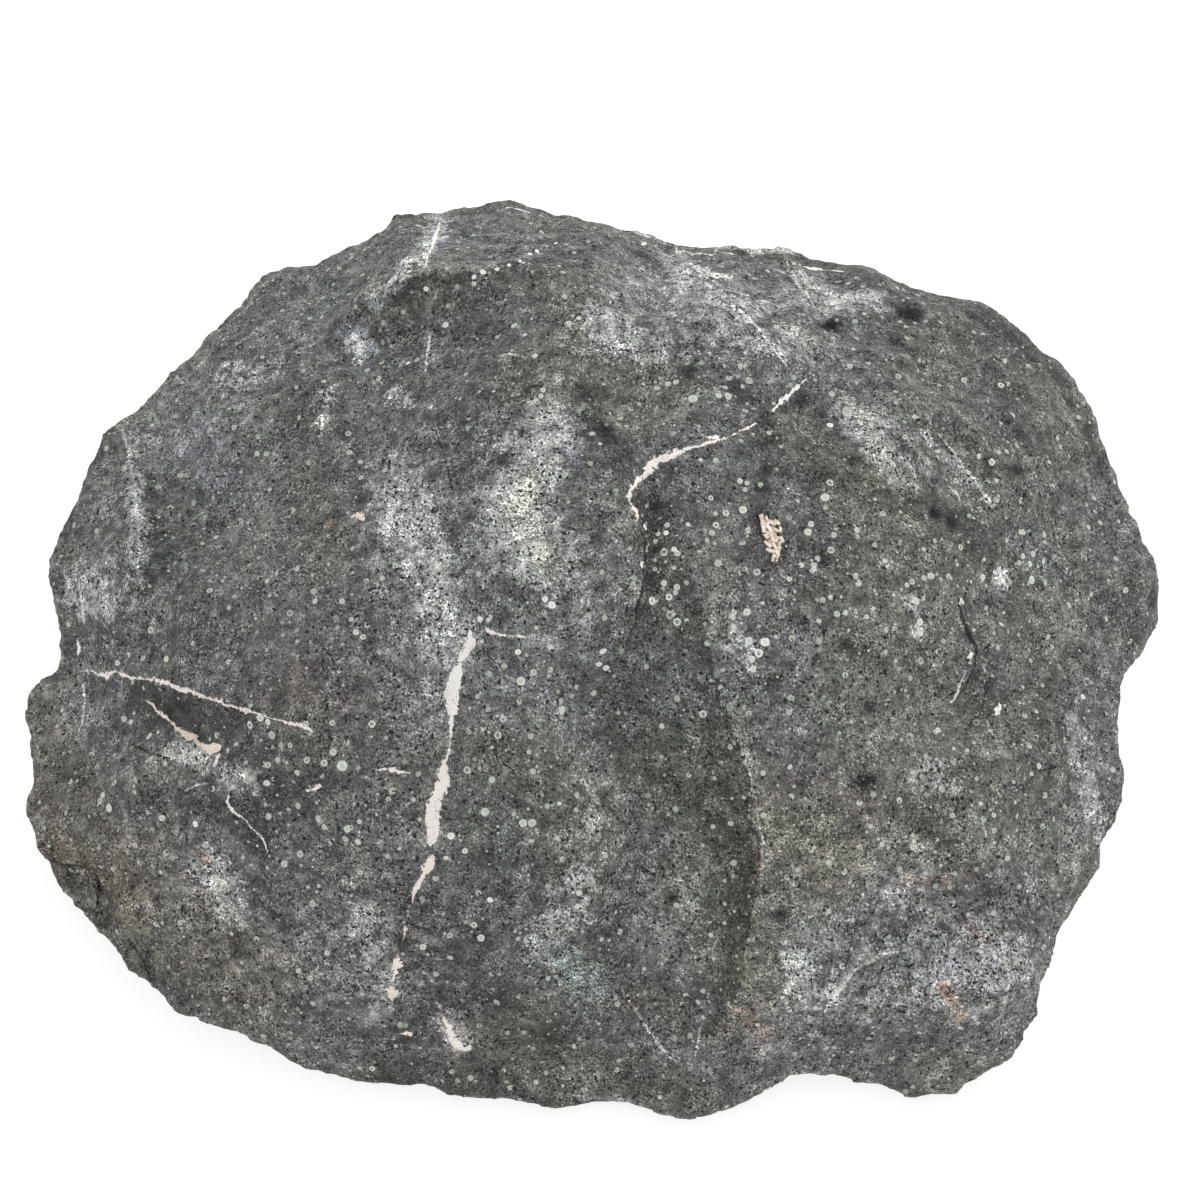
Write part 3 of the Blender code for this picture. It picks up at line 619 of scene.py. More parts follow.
# The same for round places, also partly painted light and shade: (across, down, radius in mm, tone).
toneSpots = [
    (530, 225, 6, -0.5), (700, 255, 6, 0.7), (372, 290, 9, 0.35), (485, 280, 6, 0.5), (550, 300, 7, 0.4),
    (610, 295, 7, 0.4), (675, 310, 6, -0.5), (870, 282, 6, -0.6), (890, 310, 6, -0.5), (904, 310, 6, -1.17),
    (355, 350, 6, 0.5), (433, 354, 5.5, 0.91), (620, 322, 8, 0.35), (635, 325, 6, -0.5), (640, 345, 7, -0.4),
    (790, 334, 7, 1.24), (805, 349, 5, 0.62), (896, 340, 7, -0.72), (1000, 340, 10, -0.35),
    (198, 366, 5.5, 1.01), (310, 390, 5.5, -0.91), (423, 395, 6, -0.6), (510, 385, 8, -0.35),
    (527, 396, 6, -0.5), (578, 390, 6, -0.5), (660, 370, 6, -0.5), (769, 365, 8, 0.55), (915, 375, 10, -0.35),
    (1000, 385, 9, -0.7), (320, 428, 5.5, 0.81), (530, 430, 5, -0.6), (579, 426, 5.5, -1.06),
    (780, 405, 7, -0.5), (800, 430, 14, -0.35), (800, 400, 7, -0.4), (808, 405, 5, 0.7), (830, 422, 6, -0.7),
    (877, 412, 5, 1), (1000, 410, 12, -0.35), (1025, 432, 10, -0.4), (128, 470, 6, -0.5), (215, 460, 7, 0.4),
    (425, 470, 5, -0.6), (773, 443, 6, -0.75), (837, 475, 9, -0.55), (870, 442, 6, 0.5), (932, 475, 8, -0.5),
    (1096, 467, 6, -0.62), (238, 512, 5, -0.6), (357, 495, 6, -1.05), (441, 491, 5, 0.9), (520, 495, 8, 0.4),
    (525, 480, 10, 0.4), (655, 490, 9, -0.4), (956, 490, 6, 0.5), (147, 538, 6, -0.85), (380, 522, 6, 0.5),
    (410, 530, 5, 0.7), (418, 550, 6, 0.5), (535, 548, 6, 0.6), (585, 550, 6, -0.8), (651, 530, 6, -0.8),
    (716, 546, 6, 0.5), (780, 553, 8, -0.52), (825, 540, 9, -0.35), (247, 594, 8, -0.55), (470, 560, 7, 0.4),
    (540, 580, 8, -0.35), (815, 585, 8, -0.5), (1001, 578, 4.5, 0.9), (532, 630, 6, 0.5), (535, 605, 7, 0.5),
    (630, 622, 6, -0.6), (952, 632, 7, 0.7), (960, 620, 5, -0.6), (1010, 620, 6, -0.5), (1118, 620, 7, -0.4),
    (1136, 625, 6, -0.75), (1155, 600, 6, -0.6), (62, 640, 6, -0.5), (260, 665, 5, 0.6), (860, 665, 6, -0.5),
    (1060, 642, 6, 0.5), (40, 700, 6, 0.5), (165, 718, 9, -0.5), (250, 705, 6, -0.5), (888, 690, 8, 0.35),
    (948, 682, 6, 0.5), (1030, 680, 6, -0.6), (1041, 708, 6, -0.62), (55, 735, 7, 0.5), (120, 722, 6, -0.5),
    (150, 720, 8, -0.5), (605, 738, 5, -0.9), (1030, 735, 11, -0.35), (1060, 730, 7, -0.5), (1112, 740, 6, 0.5),
    (262, 785, 5, -1.22), (680, 784, 4, -0.7), (740, 760, 6, 0.6), (745, 780, 6, 0.8), (815, 778, 5, 0.6),
    (853, 777, 5, 0.72), (940, 777, 5.5, -1.01), (942, 787, 6, 0.8), (1008, 762, 5, 0.6), (1110, 772, 5, 0.62),
    (40, 820, 5.5, 0.91), (210, 800, 6, -0.5), (258, 837, 6, -1.38), (590, 810, 5, 0.6), (640, 800, 7, 0.5),
    (681, 838, 6, 0.6), (940, 822, 6, -0.5), (1060, 830, 8, 0.35), (1080, 820, 6, 0.5), (104, 860, 6, -0.62),
    (205, 856, 6, -0.6), (290, 855, 6, 0.5), (300, 862, 7, -0.4), (345, 840, 6, -0.5), (480, 855, 8, -0.4),
    (612, 845, 7, 0.5), (880, 858, 6, -0.5), (930, 840, 6, 0.5), (1080, 860, 7, 0.5), (95, 888, 7, 0.88),
    (110, 900, 6.5, -0.91), (321, 890, 5, -1), (400, 896, 6, -0.72), (435, 912, 7, -0.65), (492, 895, 6, -0.5),
    (560, 900, 6, -0.5), (580, 882, 7, -0.5), (740, 886, 6, 0.6), (905, 892, 6, 1.2), (1010, 888, 6, 0.5),
    (1036, 891, 6, 0.82), (234, 947, 7, -1.22), (590, 920, 6, 0.5), (610, 948, 7, -0.5), (665, 950, 8, 0.6),
    (665, 930, 7, 0.6), (812, 920, 6, 0.5), (825, 927, 8, 0.8), (888, 932, 6, -0.5), (945, 950, 7, -0.4),
    (950, 958, 7, 0.5), (1033, 934, 6, -0.8), (481, 960, 6, -0.8), (500, 997, 7, -1.4), (632, 998, 6, -0.8),
    (720, 960, 6, 0.5), (742, 960, 7, 0.5), (748, 980, 5, 0.6), (293, 1005, 10, -0.45), (380, 1017, 6, 0.9),
    (390, 1020, 10, -0.4), (455, 1010, 8, -0.5), (510, 1010, 6, -0.5), (550, 1022, 6, -0.6),
    (555, 1037, 6.5, -1.22), (640, 1012, 6, 0.5), (790, 1008, 9, 0.8), (876, 1003, 6, 0.67),
    (1010, 1025, 9, 0.6), (384, 1078, 6, -1.11), (385, 1050, 8, -0.5), (400, 1040, 6, -0.5),
    (635, 1064, 6, -0.65), (670, 1042, 6, 0.5), (700, 1055, 6, 0.5), (728, 1050, 6, -0.6), (760, 1050, 6, 0.7),
    (810, 1068, 6, 0.7), (812, 1060, 6, -0.5), (870, 1070, 6, 0.5), (932, 1068, 6, 0.6), (970, 1050, 9, 0.7),
    (460, 1095, 6, -0.6), (500, 1085, 7, -0.8), (585, 1094, 5, 0.6), (745, 1090, 7, 0.5), (940, 1080, 5, 0.6),
]
# Round dark marks, partly real stains and partly painted shade in the gas holes: (across, down, radius in mm).
stainsAndPitShade = [
    (898, 310, 3), (912, 312, 3.6), (830, 327, 2.8), (932, 513, 2.2), (953, 523, 3), (766, 470, 2),
    (763, 488, 2.2), (865, 780, 3.5), (820, 560, 2.5), (845, 645, 2.8), (868, 706, 2.2), (775, 680, 3),
    (803, 785, 2.6), (780, 915, 2.6), (517, 804, 1.3), (672, 897, 2), (687, 374, 2.6), (738, 390, 3),
    (803, 398, 3), (970, 636, 1.8), (988, 690, 2.2), (584, 396, 3.5), (506, 458, 2), (654, 507, 2.2),
    (850, 460, 2.6), (898, 690, 2), (1018, 470, 2.4),
]
stainAndShadeStrength = 0.9
# Round fillings in gas bubbles: (across, down, radius in pixels). A negative radius is a ring.
whiteFillings = [
    (446, 325, 3), (426, 289, 2.6), (408, 363, 2.6), (431, 407, 2.4), (474, 277, 2.4), (483, 272, 3),
    (497, 269, 2.4), (509, 265, 2), (520, 261, 2), (530, 254, 2.6), (537, 251, 2.4), (546, 246, 2.2),
    (556, 243, 2), (552, 605, 3.6), (545, 599, 2.8), (603, 651, 3.6), (606, 668, 3.2), (599, 664, 2.8),
    (518, 652, 2.8), (674, 549, 2.6), (643, 565, 3.4), (652, 601, -3.6), (669, 597, -3.2), (666, 533, 2.4),
    (645, 527, 3), (830, 425, 3.2), (759, 653, -4), (480, 619, 2.6), (451, 836, 3.4), (765, 642, 4.2),
    (490, 900, 2.8), (664, 583, 2.8), (195, 824, 3),
]
paleFillings = [
    (693, 399, 4.5), (728, 396, 4), (719, 395, 3), (749, 381, 4), (668, 384, 3), (676, 382, 3), (657, 388, 3),
    (830, 483, -3.4), (825, 497, 4.2), (743, 510, 3.8), (726, 513, -3), (716, 525, -3), (712, 533, 3),
    (711, 498, -2.6), (747, 483, 2.4), (667, 525, -2.8), (664, 552, -3.6), (672, 560, 2.2), (677, 587, 3),
    (670, 615, -3.8), (677, 622, -3.8), (664, 619, 2.6), (718, 563, 3.4), (757, 572, -3.4), (733, 617, 2.6),
    (747, 612, 3.6), (749, 641, 3.6), (752, 659, 3), (753, 669, 3.2), (488, 620, 2.2), (808, 532, 3.6),
    (831, 550, -3.4), (814, 565, 3), (823, 600, 2.6), (837, 614, 3), (819, 621, 2.4), (703, 714, -3.6),
    (662, 726, 2.6), (521, 681, 4), (562, 710, 3.6), (503, 719, -2.8), (498, 735, -3.4), (469, 732, -2.2),
    (467, 770, -3.6), (485, 812, 4), (523, 823, 3.8), (532, 823, 3.8), (523, 832, 3), (465, 851, 2.8),
    (446, 858, 2.4), (474, 925, -2.8), (481, 938, 3.4), (423, 947, 3.2), (450, 958, 3), (436, 974, 3),
    (529, 752, 2.4), (964, 380, -3), (1001, 385, -3.4), (992, 462, -3.4), (979, 456, 2.4), (999, 452, 2.4),
    (1023, 532, 3), (931, 576, 3.4), (857, 530, 3), (875, 545, 2.4), (812, 571, 2.6), (856, 576, 3),
    (916, 601, 4), (907, 585, 2.4), (920, 622, 3.8), (920, 631, 4.2), (962, 601, 3.8), (983, 577, 3),
    (1032, 580, 4.2), (1033, 554, 3), (1030, 564, 3), (1019, 563, 2.6), (921, 661, -3.4), (1126, 590, 3),
    (1048, 637, 2.6), (938, 730, 2.8), (1083, 697, 2.8), (151, 630, -3.4), (154, 621, -3), (166, 659, 3),
    (315, 601, 2.6), (342, 601, 2.8), (290, 613, -3.2), (297, 569, 2.6), (267, 581, 2.4), (356, 632, 3),
    (363, 637, -2.6), (260, 718, 3.6), (268, 722, 3), (250, 725, -3.6), (372, 724, -3.4), (342, 766, 4.8),
    (324, 763, -3.2), (333, 752, 3.4), (272, 735, 4), (278, 760, 3), (268, 765, -2.8), (297, 773, 2.8),
    (307, 760, -3), (162, 818, 3), (109, 808, 4), (100, 801, -3.4), (103, 795, 2.6), (347, 829, 3.4),
    (345, 839, 3), (358, 842, 3), (318, 819, 3.4), (324, 827, 2.6), (117, 932, 3), (124, 719, 3),
    (131, 722, 2.8), (149, 736, 3.8), (158, 732, 2), (117, 663, 2.8), (129, 655, 2.8), (143, 658, -2.8),
    (134, 786, 1.8), (267, 783, 3), (284, 864, 3.4), (300, 854, 3.4), (298, 806, 3), (1039, 766, 2.8),
    (1079, 765, 2.8), (515, 325, 2.6), (525, 335, 2.6), (535, 356, 2.6), (569, 323, 2.4), (579, 318, 2.6),
    (579, 330, 2.4), (850, 366, 2.8), (832, 394, 3), (847, 412, 5.5), (740, 481, 2.6), (811, 524, 2.8),
    (834, 535, 2.8), (543, 390, 2.6), (541, 396, 2.4),
]
fillingLooks = {
    "apart": 14,                     # pixels between two fillings of one layer
    "white": 2.0,                    # brightness: up to 1 it is how much shows, and above that how white
    "dull": 0.6, "spread": 0.4,      # brightness of the dullest pale one, and how much the others add
    "shuffle": 12.9,                 # makes neighbours in the list unlike
}


def patchValues(points, tree, strokes, signed=False):
    value = np.zeros(len(points))
    for run, radius, strength in strokes:
        places = [spotOn(tree, across, down) for across, down in run]
        gap = np.full(len(points), 1e9)
        for start, stop in zip(places, places[1:]):
            along = stop - start
            t = np.clip(((points - start) @ along) / (along @ along), 0.0, 1.0)
            gap = np.minimum(gap, np.linalg.norm(points - (start + t[:, None] * along), axis=1))
        itsValue = strength * np.exp(-(gap / (radius * mm)) ** 2)
        value += itsValue if signed else itsValue - value * itsValue
    return value


# A round place is a stroke one pixel long.
def shortStroke(across, down, radius, strength):
    return [(across, down), (across + 1, down)], radius, strength


# The way from the nearest filling's middle to each corner, in radii. Each face keeps to one filling.
def markFillings(mesh, tree, chosen, name):
    centres = np.array([spotOn(tree, across, down) for across, down, _ in chosen])
    radii = np.array([radius for _, _, radius in chosen]) * pixelSize * mm
    whites = np.array([filling in whiteFillings for filling in chosen])
    middles = np.zeros(len(mesh.polygons) * 3)
    mesh.polygons.foreach_get("center", middles)
    middles = middles.reshape(-1, 3)
    best = np.full(len(middles), 1e9)
    owner = np.zeros(len(middles), dtype=int)
    for index, centre in enumerate(centres):
        gap = np.linalg.norm(middles - centre, axis=1)
        owner = np.where(gap < best, index, owner)
        best = np.minimum(best, gap)
    sizes = np.zeros(len(mesh.polygons), dtype=np.int32)
    mesh.polygons.foreach_get("loop_total", sizes)
    corner = np.zeros(len(mesh.loops), dtype=np.int32)
    mesh.loops.foreach_get("vertex_index", corner)
    points, _ = readPoints(mesh)
    owner = np.repeat(owner, sizes)
    away = (points[corner] - centres[owner]) / np.abs(radii[owner])[:, None]
    shown = fillingLooks["dull"] + fillingLooks["spread"] * np.abs(np.sin(owner * fillingLooks["shuffle"]))
    bright = np.where(whites[owner], fillingLooks["white"], shown)
    layer = mesh.attributes.new(name, "FLOAT_VECTOR", "CORNER")
    layer.data.foreach_set("vector", away.ravel().astype(np.float32))
    for kind, values in (("Ring", radii[owner] < 0), ("Bright", bright)):
        layer = mesh.attributes.new(name + kind, "FLOAT", "CORNER")
        layer.data.foreach_set("value", values.astype(np.float32))


def splitFillings():
    layers = [[], []]
    for filling in whiteFillings + paleFillings:
        for layer in layers:
            if all(math.dist(filling[:2], other[:2]) > fillingLooks["apart"] for other in layer):
                layer.append(filling)
                break
    return layers


def markRock(mesh, tree):
    points, normals = readPoints(mesh)
    writeValues(mesh, "veinWarm", markRuns(mesh, tree, points, normals, veins.values(), "vein"))
    # dark lines: real cracks, and painted shadow and shade
    markRuns(mesh, tree, points, normals, [(0.0, run) for run in crackAndShadowLines.values()], "crackAndShadow")
    for name, strokes in patches.items():
        writeValues(mesh, name, patchValues(points, tree, strokes))
    spots = [shortStroke(*spot) for spot in toneSpots]
    for name, strokes in (("tone", tones + spots), ("yellow", yellows), ("red", reds)):
        writeValues(mesh, name, patchValues(points, tree, strokes, signed=True))
    # dark marks, partly painted shade in the gas holes
    dots = [shortStroke(*stainAndShade, stainAndShadeStrength) for stainAndShade in stainsAndPitShade]
    writeValues(mesh, "stainAndShade", patchValues(points, tree, dots))
    for number, chosen in enumerate(splitFillings()):
        markFillings(mesh, tree, chosen, "filling" + str(number))


markRock(rock.data, makeSight(rock))
print("veins, patches and fillings marked")


# Small builder for materials: adds nodes and links them in one call.
class Finish:
    def __init__(self, name):
        self.material = bpy.data.materials.new(name)
        self.material.use_nodes = True
        self.tree = self.material.node_tree
        self.shader = self.tree.nodes["Principled BSDF"]
        self.place = self.add("ShaderNodeTexCoord").outputs["Object"]

    def add(self, kind, **settings):
        node = self.tree.nodes.new(kind)
        for name, value in settings.items():
            setattr(node, name, value)
        return node

    def feed(self, socket, value):
        if isinstance(value, bpy.types.NodeSocket):
            self.tree.links.new(value, socket)
        else:
            socket.default_value = value

    def math(self, operation, a, b=0.0, c=None):
        node = self.add("ShaderNodeMath", operation=operation)
        self.feed(node.inputs[0], a)
        self.feed(node.inputs[1], b)
        if c is not None:
            self.feed(node.inputs[2], c)
        return node.outputs[0]

    def times(self, a, b):
        return self.math("MULTIPLY", a, b)

    def timesPlus(self, a, b, c):
        return self.math("MULTIPLY_ADD", a, b, c)

    def step(self, value, low, high, bottom=0.0, top=1.0):
        node = self.add("ShaderNodeMapRange", interpolation_type="SMOOTHSTEP")
        for socket, given in zip(node.inputs, (value, low, high, bottom, top)):
            self.feed(socket, given)
        return node.outputs[0]

    def mix(self, share, a, b):
        node = self.add("ShaderNodeMix", data_type="RGBA")
        self.feed(node.inputs["Factor"], share)
        self.feed(node.inputs[6], a)      # 6, 7 and 2 are the colour sockets
        self.feed(node.inputs[7], b)
        return node.outputs[2]

    def value(self, name, output="Fac"):
        return self.add("ShaderNodeAttribute", attribute_name=name).outputs[output]

    def vector(self, operation, a, b=None, scale=None):
        node = self.add("ShaderNodeVectorMath", operation=operation)
        self.feed(node.inputs[0], a)
        if b is not None:
            self.feed(node.inputs[1], b)
        if scale is not None:
            self.feed(node.inputs["Scale"], scale)
        return node.outputs["Value" if operation in ("LENGTH", "DOT_PRODUCT") else "Vector"]

    def noise(self, size, detail, rough, place=None):
        node = self.add("ShaderNodeTexNoise")
        self.feed(node.inputs["Vector"], place or self.place)
        self.feed(node.inputs["Scale"], 1.0 / (size * mm))
        self.feed(node.inputs["Detail"], detail)
        self.feed(node.inputs["Roughness"], rough)
        return node.outputs["Fac"]

    # Noise that swings to both sides of nothing.
    def swing(self, *settings):
        return self.math("SUBTRACT", self.noise(*settings), 0.5)

    # Balls, one in each cell, cut by the surface: way from the middle, radius, cover and the cell's lots.
    def spots(self, size, small, large, ragged, soft=0.7):
        node = self.add("ShaderNodeTexVoronoi", feature="F1")
        self.feed(node.inputs["Vector"], self.place)
        self.feed(node.inputs["Scale"], 1.0 / (size * mm))
        split = self.add("ShaderNodeSeparateColor")
        self.feed(split.inputs[0], node.outputs["Color"])
        lot = split.outputs
        near = self.math("ADD", node.outputs["Distance"], ragged)
        radius = self.step(lot[0], 0.0, 1.0, small, large)
        return near, radius, self.step(near, radius, self.times(radius, soft)), lot


# Colours of the stone, its marks and its fillings, and then how they are spread.
basaltLook = {
    "grey": (0.144, 0.1455, 0.1392, 1),
    "olive": (0.142, 0.146, 0.128, 1),
    "haze": (0.222, 0.223, 0.219, 1),
    "brown": (0.146, 0.128, 0.106, 1),
    "bloom": (0.33, 0.334, 0.325, 1),
    "core": (0.44, 0.44, 0.412, 1),
    "streakPale": (0.64, 0.64, 0.61, 1),
    "teal": (0.25, 0.31, 0.3, 1),
    "rust": (0.44, 0.32, 0.25, 1),
    "black": (0.014, 0.015, 0.015, 1),
    "veinWhite": (1.0, 0.99, 0.955, 1),
    "veinWarm": (0.95, 0.81, 0.71, 1),
    "spot": (0.36, 0.4, 0.34, 1),
    "spotPale": (0.84, 0.87, 0.79, 1),
    "filling": (0.8, 0.83, 0.76, 1),
    # noises: (size in mm, detail, roughness), and how strongly they lighten and darken the stone
    "broadNoise": (38.0, 2.0, 0.7), "broad": 1.1,
    "mottleNoise": (6.0, 3.0, 0.8), "mottle": 5.8,
    "grainNoise": (0.72, 1.5, 0.8), "grain": 6.9,
    "lumpNoise": (1.7, 2.0, 0.7),
    "livelyNoise": (13.0, 1.0, 0.5), "lively": (0.36, 0.62, 0.75, 1.3),      # where the grain is strong
    "streak": (0.5, -0.75, -0.43), "streakPull": -0.2,      # the way that the grain is drawn out
    # how the noises break up the patches. An edge is (from, to), and then the least and the most of it
    "bloomMottle": 1.3, "bloomLump": 1.0, "bloomEdge": (0.14, 0.54), "bloomFull": 3.0,
    "coreLump": 2.4, "coreEdge": (0.56, 0.66),
    "oliveEdge": (-0.08, 0.1, -0.2, 0.5), "hazeEdge": (-0.12, 0.12, 0.3, 1.0),
    "tealEdge": (-0.1, 0.1), "rustEdge": (-0.2, 0.02),
    "redTint": 0.05, "yellowTint": -0.12,
    # the dark marks are partly painted shade in gas holes; the edge tones are painted light and shade with some
    # dust
    "stainAndShadeTone": -2.5, "dustAndShadeMottle": 4.0, "dustAndShadeEdge": (-0.5, 0.5),
    # raggedness of veins, and of cracks and painted shadow lines, in mm, and the share of it that a thin vein
    # keeps
    "veinLump": 6.0, "veinGrain": 2.0, "veinMottle": 2.0, "veinEdge": (0.05, -0.2),
    "thinVein": (0.2, 1.8, 0.35, 1.0), "veinWorn": (-0.8, -1.7, 0.0, 0.4), "streakAbove": 0.001,
    "crackAndShadowRagged": 0.4, "crackAndShadowEdge": (0.25, -0.2), "crackAndShadowDark": 0.9,
    # random fillings: size of a cell in mm, least and greatest radius in cells, and share of the cells
    "dots": (3.4, 0.10, 0.20, 0.75), "discs": (5.2, 0.14, 0.27, 0.75),
    "spotty": 0.4, "spotRagged": 0.15, "spotFade": 0.15, "spotLight": 0.7,
    "spotRing": (0.6, 0.3), "ringShare": (0.6, 0.62, 0.0, 0.6),
    # black pits: how low the noise must fall, and how much higher that is in bloom and lively grain
    "pitNoise": (1.45, 1.0, 0.5), "pitLow": 0.35, "pitInBloom": 0.02,
    "pitLively": 0.03, "pitSharp": 0.022, "pitDark": 0.97,
    # round holes, as the random fillings: share of the cells, and how much more of them in the bloom
    "hole": (3.3, 0.13, 0.28), "holes": 0.58, "holesInBloom": 0.48,
    "holeRagged": 0.4, "holeFade": 0.12, "holeDark": 0.9,
    # named fillings, in radii: raggedness, and the edges of the filling and of its dark middle
    "fillingRagged": 0.9, "fillingEdge": (1.06, 0.88), "middleEdge": (0.65, 0.4),
    "middleDark": 0.25, "ringDark": 0.5,      # the middle's darkness, and how much a ring's adds
    "rough": 0.88, "gloss": 0.3,
    "bumpStrength": 0.8, "bumpDepth": 1.2,      # the depth in mm
}


def basaltFinish():
    f = Finish("basalt")
    look = basaltLook
    pull = f.vector("DOT_PRODUCT", f.place, look["streak"])
    along = f.vector("SCALE", look["streak"], scale=f.times(pull, look["streakPull"]))
    streaked = f.vector("ADD", f.place, along)
    broad = f.swing(*look["broadNoise"])
    mottle = f.swing(*look["mottleNoise"])
    grain = f.swing(*look["grainNoise"], streaked)
    lump = f.swing(*look["lumpNoise"])
    lively = f.step(f.noise(*look["livelyNoise"]), *look["lively"])
    # stone colour
    bloom = f.value("bloom")
    bloomEdge = f.timesPlus(mottle, look["bloomMottle"], f.timesPlus(lump, look["bloomLump"], bloom))
    full = f.math("MINIMUM", f.times(bloom, look["bloomFull"]), 1.0)
    bloomed = f.times(f.step(bloomEdge, *look["bloomEdge"]), full)
    olive = f.math("ADD", f.value("olive"), f.step(broad, *look["oliveEdge"]))
    colour = f.mix(olive, look["grey"], look["olive"])
    colour = f.mix(f.value("brown"), colour, look["brown"])
    colour = f.mix(f.times(f.value("haze"), f.step(mottle, *look["hazeEdge"])), colour, look["haze"])
    colour = f.mix(bloomed, colour, look["bloom"])
    coreEdge = f.math("ADD", mottle, f.timesPlus(lump, look["coreLump"], f.value("core")))
    colour = f.mix(f.step(coreEdge, *look["coreEdge"]), colour, look["core"])
    colour = f.mix(f.times(f.value("teal"), f.step(grain, *look["tealEdge"])), colour, look["teal"])
    rust = f.step(f.math("ADD", grain, mottle), *look["rustEdge"])
    colour = f.mix(f.times(f.value("rust"), rust), colour, look["rust"])
    # pale streaks go under the mottling, and veins over the fillings. Thin ones have a smoother edge
    ragged = f.timesPlus(grain, look["veinGrain"], f.times(mottle, look["veinMottle"]))
    ragged = f.timesPlus(lump, look["veinLump"], ragged)
    half = f.value("veinHalf")
    gap = f.math("SUBTRACT", f.math("ABSOLUTE", f.value("veinSide")), half)
    vein = f.step(f.timesPlus(ragged, f.step(half, *look["thinVein"]), gap), *look["veinEdge"])
    faint = f.times(f.value("veinWarm"), -1.0)
    colour = f.mix(f.times(vein, f.math("MAXIMUM", faint, 0.0)), colour, look["streakPale"])
    tint = f.add("ShaderNodeCombineXYZ")
    f.feed(tint.inputs[0], f.timesPlus(f.value("red"), look["redTint"], 1.0))
    tint.inputs[1].default_value = 1.0
    f.feed(tint.inputs[2], f.timesPlus(f.value("yellow"), look["yellowTint"], 1.0))
    colour = f.vector("MULTIPLY", colour, tint.outputs[0])
    # mottling lightens and darkens it at every size
    fine = f.timesPlus(mottle, look["mottle"], f.times(f.times(grain, look["grain"]), lively))
    # the tone lists: the stone's own lighter and darker places, and painted light and shade of the relief
    tone = f.math("ADD", f.value("tone"), f.timesPlus(broad, look["broad"], fine))
    # dark marks: real stains, and painted shade in the gas holes
    tone = f.timesPlus(f.value("stainAndShade"), look["stainAndShadeTone"], tone)
    # painted light and shade beside each broken edge, with some dust: lighter on one side, darker on the other
    side = f.timesPlus(mottle, look["dustAndShadeMottle"], f.value("edgeSide"))
    dustAndShade = f.step(side, *look["dustAndShadeEdge"], f.value("edgeRight"), f.value("edgeLeft"))
    tone = f.math("ADD", tone, dustAndShade)
    colour = f.vector("SCALE", colour, scale=f.math("POWER", 2.0, tone))
    # round fillings of old gas bubbles, small ones first
    more = f.times(f.value("spotty"), look["spotty"])
    for size, small, large, share in (look["dots"], look["discs"]):
        near, radius, disc, lot = f.spots(size, small, large, f.times(grain, look["spotRagged"]))
        ring = f.step(near, *(f.times(radius, edge) for edge in look["spotRing"]))
        core = f.times(ring, f.step(lot[2], *look["ringShare"]))
        there = f.step(f.math("ADD", lot[1], more), 1.0 - share, 1.0 + look["spotFade"] - share)
        pale = f.mix(f.timesPlus(lot[2], look["spotLight"], more), look["spot"], look["spotPale"])
        colour = f.mix(f.times(f.math("SUBTRACT", disc, core), there), colour, pale)
    # black pits and holes
    low = f.timesPlus(lively, look["pitLively"], look["pitLow"] - look["pitLively"])
    low = f.timesPlus(bloomed, look["pitInBloom"], low)
    deep = f.math("SUBTRACT", low, look["pitSharp"])
    pit = f.step(f.noise(*look["pitNoise"]), low, deep, 0.0, look["pitDark"])
    near, radius, hole, lot = f.spots(*look["hole"], f.times(grain, look["holeRagged"]))
    rare = f.timesPlus(bloomed, -look["holesInBloom"], 1.0 - look["holes"])
    hole = f.times(hole, f.step(lot[1], rare, f.math("ADD", rare, look["holeFade"]), 0.0, look["holeDark"]))
    colour = f.mix(f.math("MAXIMUM", hole, pit), colour, look["black"])
    # the named fillings, in two layers
    for name in ("filling0", "filling1"):
        away = f.timesPlus(grain, look["fillingRagged"], f.vector("LENGTH", f.value(name, "Vector")))
        dark = f.timesPlus(f.value(name + "Ring"), look["ringDark"], look["middleDark"])
        core = f.times(f.step(away, *look["middleEdge"]), dark)
        bright = f.value(name + "Bright")
        filling = f.math("SUBTRACT", f.step(away, *look["fillingEdge"]), core)
        white = f.mix(f.math("SUBTRACT", bright, 1.0), look["filling"], look["veinWhite"])
        colour = f.mix(f.times(filling, f.math("MINIMUM", bright, 1.0)), colour, white)
    veinColour = f.mix(f.value("veinWarm"), look["veinWhite"], look["veinWarm"])
    veinColour = f.mix(f.step(fine, *look["veinWorn"]), veinColour, look["grey"])
    colour = f.mix(f.times(vein, f.math("LESS_THAN", faint, look["streakAbove"])), colour, veinColour)
    # black lines: real cracks, and painted shadow under ledges and painted shade in hollows
    gap = f.math("SUBTRACT", f.math("ABSOLUTE", f.value("crackAndShadowSide")), f.value("crackAndShadowHalf"))
    crackAndShadow = f.step(f.timesPlus(ragged, look["crackAndShadowRagged"], gap), *look["crackAndShadowEdge"])
    colour = f.mix(f.times(crackAndShadow, look["crackAndShadowDark"]), colour, look["black"])
    f.feed(f.shader.inputs["Base Color"], colour)
    f.shader.inputs["Roughness"].default_value = look["rough"]
    f.shader.inputs["Specular IOR Level"].default_value = look["gloss"]
    bump = f.add("ShaderNodeBump")
    bump.inputs["Strength"].default_value = look["bumpStrength"]
    bump.inputs["Distance"].default_value = look["bumpDepth"] * mm
    f.feed(bump.inputs["Height"], grain)
    f.feed(f.shader.inputs["Normal"], bump.outputs[0])
    return f.material


